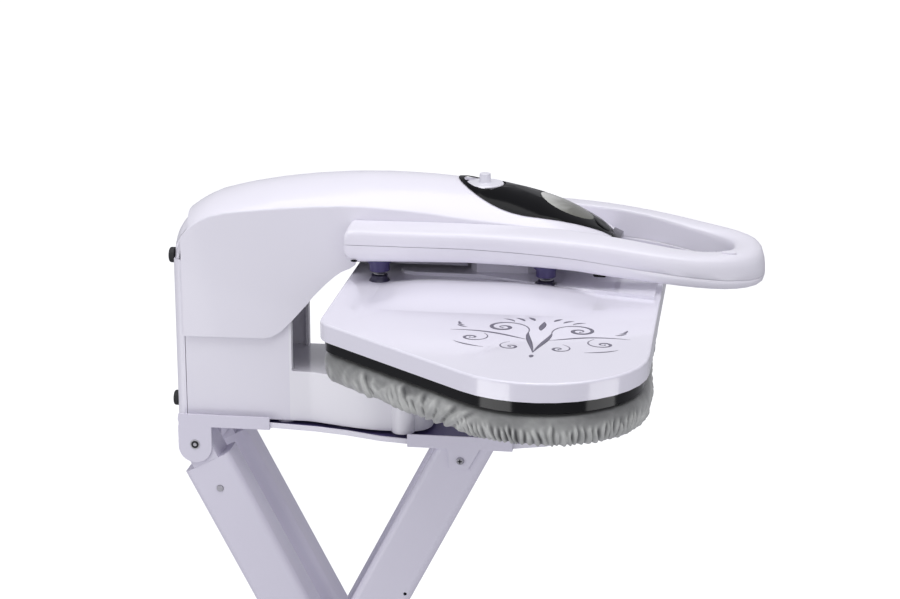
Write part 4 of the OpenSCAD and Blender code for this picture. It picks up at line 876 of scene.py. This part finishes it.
for flip in (-1, 1):
    scroll(flip * 31, 20, 24, 2.4, start=205, turn=-640, width=1.5, flip=flip)
    scroll(flip * 53, -14, 17, 1.8, start=120, turn=560, width=1.05, flip=flip, squeeze=0.9)
    scroll(flip * 19, -34, 13, 1.6, start=80, turn=-520, width=0.95, flip=flip)
    sweep(((0, -48), (flip * 4, -20), (flip * 10, -6), (flip * 9.5, 10)), 1.7)
    sweep(((flip * 8, -12), (flip * 26, -4), (flip * 40, 10), (flip * 73, 4)), 1.25)
    sweep(((flip * 40, -40), (flip * 50, -38), (flip * 60, -34), (flip * 66, -27)), 0.9)
    for k in range(3):
        sweep(((flip * (8 + 8 * k), 44 - 3 * k), (flip * (9 + 8 * k), 48 - 3 * k),
               (flip * (11 + 9 * k), 51 - 3 * k), (flip * (14 + 10 * k), 53 - 4 * k)),
              1.5 - 0.25 * k, count=14)
        sweep(((flip * (60 + 3 * k), 14 + 5 * k), (flip * (64 + 2 * k), 15 + 5 * k),
               (flip * (67 + k), 17 + 5 * k), (flip * 69, 20 + 5 * k)), 0.9, count=14)
sweep(((0, 16), (-1.5, 24), (1.5, 32), (0, 42)), 2.2)
sweep(((0, -54), (0, -56), (0, -59), (0, -62)), 1.6, count=14)

ornament_x, ornament_y, plate_top = 337, -205, 142.0
long_scale, deep_scale, slant = 0.98, 0.92, 0.06
swing = math.radians(-4)
plate_level = lift_z + plate_top / 1000
ink_points, ink_edges, ink_halves = [], [], []
for stroke in strokes:
    for k, (u, v, half) in enumerate(stroke):
        if k:
            ink_edges.append((len(ink_points) - 1, len(ink_points)))
        x = ornament_x + long_scale * (u * math.cos(swing) - v * math.sin(swing)) - slant * v
        y = ornament_y + deep_scale * (u * math.sin(swing) + v * math.cos(swing))
        ink_points.append(spot(x, y, plate_top) - Vector((0, 0, plate_level)))
        ink_halves.append(half / 1000)
ink_mesh = bpy.data.meshes.new("ornament_lines")
ink_mesh.from_pydata(ink_points, ink_edges, [])
ink_mesh.attributes.new("half", "FLOAT", "POINT").data.foreach_set("value", ink_halves)
ornament = put("printed_ornament", ink_mesh)
ink = moulded("grey_ink", (0.15, 0.14, 0.19), rough=0.4, grain=0.1, speck=0.15)
ink_sizes = {"Stroke width": 1.15, "Ink height share": 0.03, "Plate level": plate_level + 0.00006}
drawing = new_tree("drawing", ink_sizes)
source = add(drawing, "NodeGroupInput")
curve = add(drawing, "GeometryNodeMeshToCurve")
half = add(drawing, "GeometryNodeInputNamedAttribute", (("Name", "half"),))
half.data_type = "FLOAT"
wide = add(drawing, "ShaderNodeMath")
wide.operation = "MULTIPLY"
section = add(drawing, "GeometryNodeCurvePrimitiveCircle", (("Resolution", 6), ("Radius", 1.0)))
tube = add(drawing, "GeometryNodeCurveToMesh", (("Fill Caps", True),))
where = add(drawing, "GeometryNodeInputPosition")
parts = add(drawing, "ShaderNodeSeparateXYZ")
press = add(drawing, "ShaderNodeMath")
press.operation = "MULTIPLY_ADD"
whole = add(drawing, "ShaderNodeCombineXYZ")
flatten = add(drawing, "GeometryNodeSetPosition")
wire(drawing, (source, "Geometry", curve, "Mesh"), (half, "Attribute", wide, 0),
     (source, "Stroke width", wide, 1), (curve, "Curve", tube, "Curve"),
     (section, "Curve", tube, "Profile Curve"), (wide, 0, tube, "Scale"),
     (tube, "Mesh", flatten, "Geometry"), (where, "Position", parts, "Vector"),
     (parts, "Z", press, 0), (source, "Ink height share", press, 1),
     (source, "Plate level", press, 2), (parts, "X", whole, "X"), (parts, "Y", whole, "Y"),
     (press, 0, whole, "Z"), (whole, "Vector", flatten, "Position"))
end_tree(drawing, flatten, "Geometry", ink)
grown(ornament, drawing, ink_sizes, "plate")

# Insulation rim and sole
# A black heat-proof rim of phenolic runs round the cast aluminium sole.
# The sole is ground flat and carries the heater cast into it and the thermostat.
black_rim = moulded("black_phenolic", (0.003, 0.003, 0.004), rough=0.12, grain=0.01, speck=0.2,
                    gloss=0.26)
smooth_copy("insulation_rim", "plate", black_rim, angle=40)
cast = plated("cast_aluminium", (0.78, 0.78, 0.80), rough=0.35)
finish_node("sole_plate", cast)
finish_node("heater_element", zinc)
finish_node("thermostat", zinc)

# Inner parts
# The steel arm, the lift springs, the hinge bushes, the tank, the pump and two circuit boards
# lie inside the shells. Plated steel, white and black plastic and green laminate, all screwed in.
circuit = moulded("green_circuit", (0.03, 0.16, 0.07), rough=0.45, grain=0.1)
for node, material in (("head_arm", zinc), ("lift_springs", zinc), ("hinge_bushes", plug_white),
                       ("water_tank", plug_white), ("steam_pump", gloss_black),
                       ("display_module", circuit), ("power_board", circuit)):
    finish_node(node, material)

# Screw and pin heads
# The heads that show have their drives: a spring pin at the rear legs, cross recesses in front.
# Small hollows are pressed into the plated steel; dark marks laid on it stand in for them as painted
# shade.
# Painted shade: black rings and crosses stand a little proud of the pin and screw faces where their
# hollows lie.
sunk = 0.0001
pin_gap_painted_shade = ("pin_gap_painted_shade", [(0.0034, 0.0), (0.0034, 0.0003), (0.0019, 0.0004), (0.0018, 0.0001)],
            rubber, (1, 1))
pin_core = ("pin_core", [(0.0017, 0.0), (0.0015, 0.0005)], zinc, (1, 1))
bar_outline = [(0.0022, 0.0), (0.0020, 0.00035)]
cross_painted_shade_across = ("cross_painted_shade_across", bar_outline, rubber, (1.0, 0.28))
cross_painted_shade_upright = ("cross_painted_shade_upright", bar_outline, rubber, (0.28, 1.0))
for node, marks in (("rear_leg_pins", (pin_gap_painted_shade, pin_core)), ("lock_screws", (cross_painted_shade_across, cross_painted_shade_upright))):
    corners = [vertex.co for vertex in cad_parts[node].data.vertices]
    low, high = [Vector([limit(co[i] for co in corners) for i in range(3)]) for limit in (min, max)]
    for end, end_name, face_y in ((-1, "near", low.y), (1, "far", high.y)):
        centre = ((low.x + high.x) / 2, face_y - end * sunk, (low.z + high.z) / 2)
        for mark, outline, material, stretch in marks:
            turned(mark + "_" + end_name, outline, centre, (0, end, 0), "base", material, stretch)
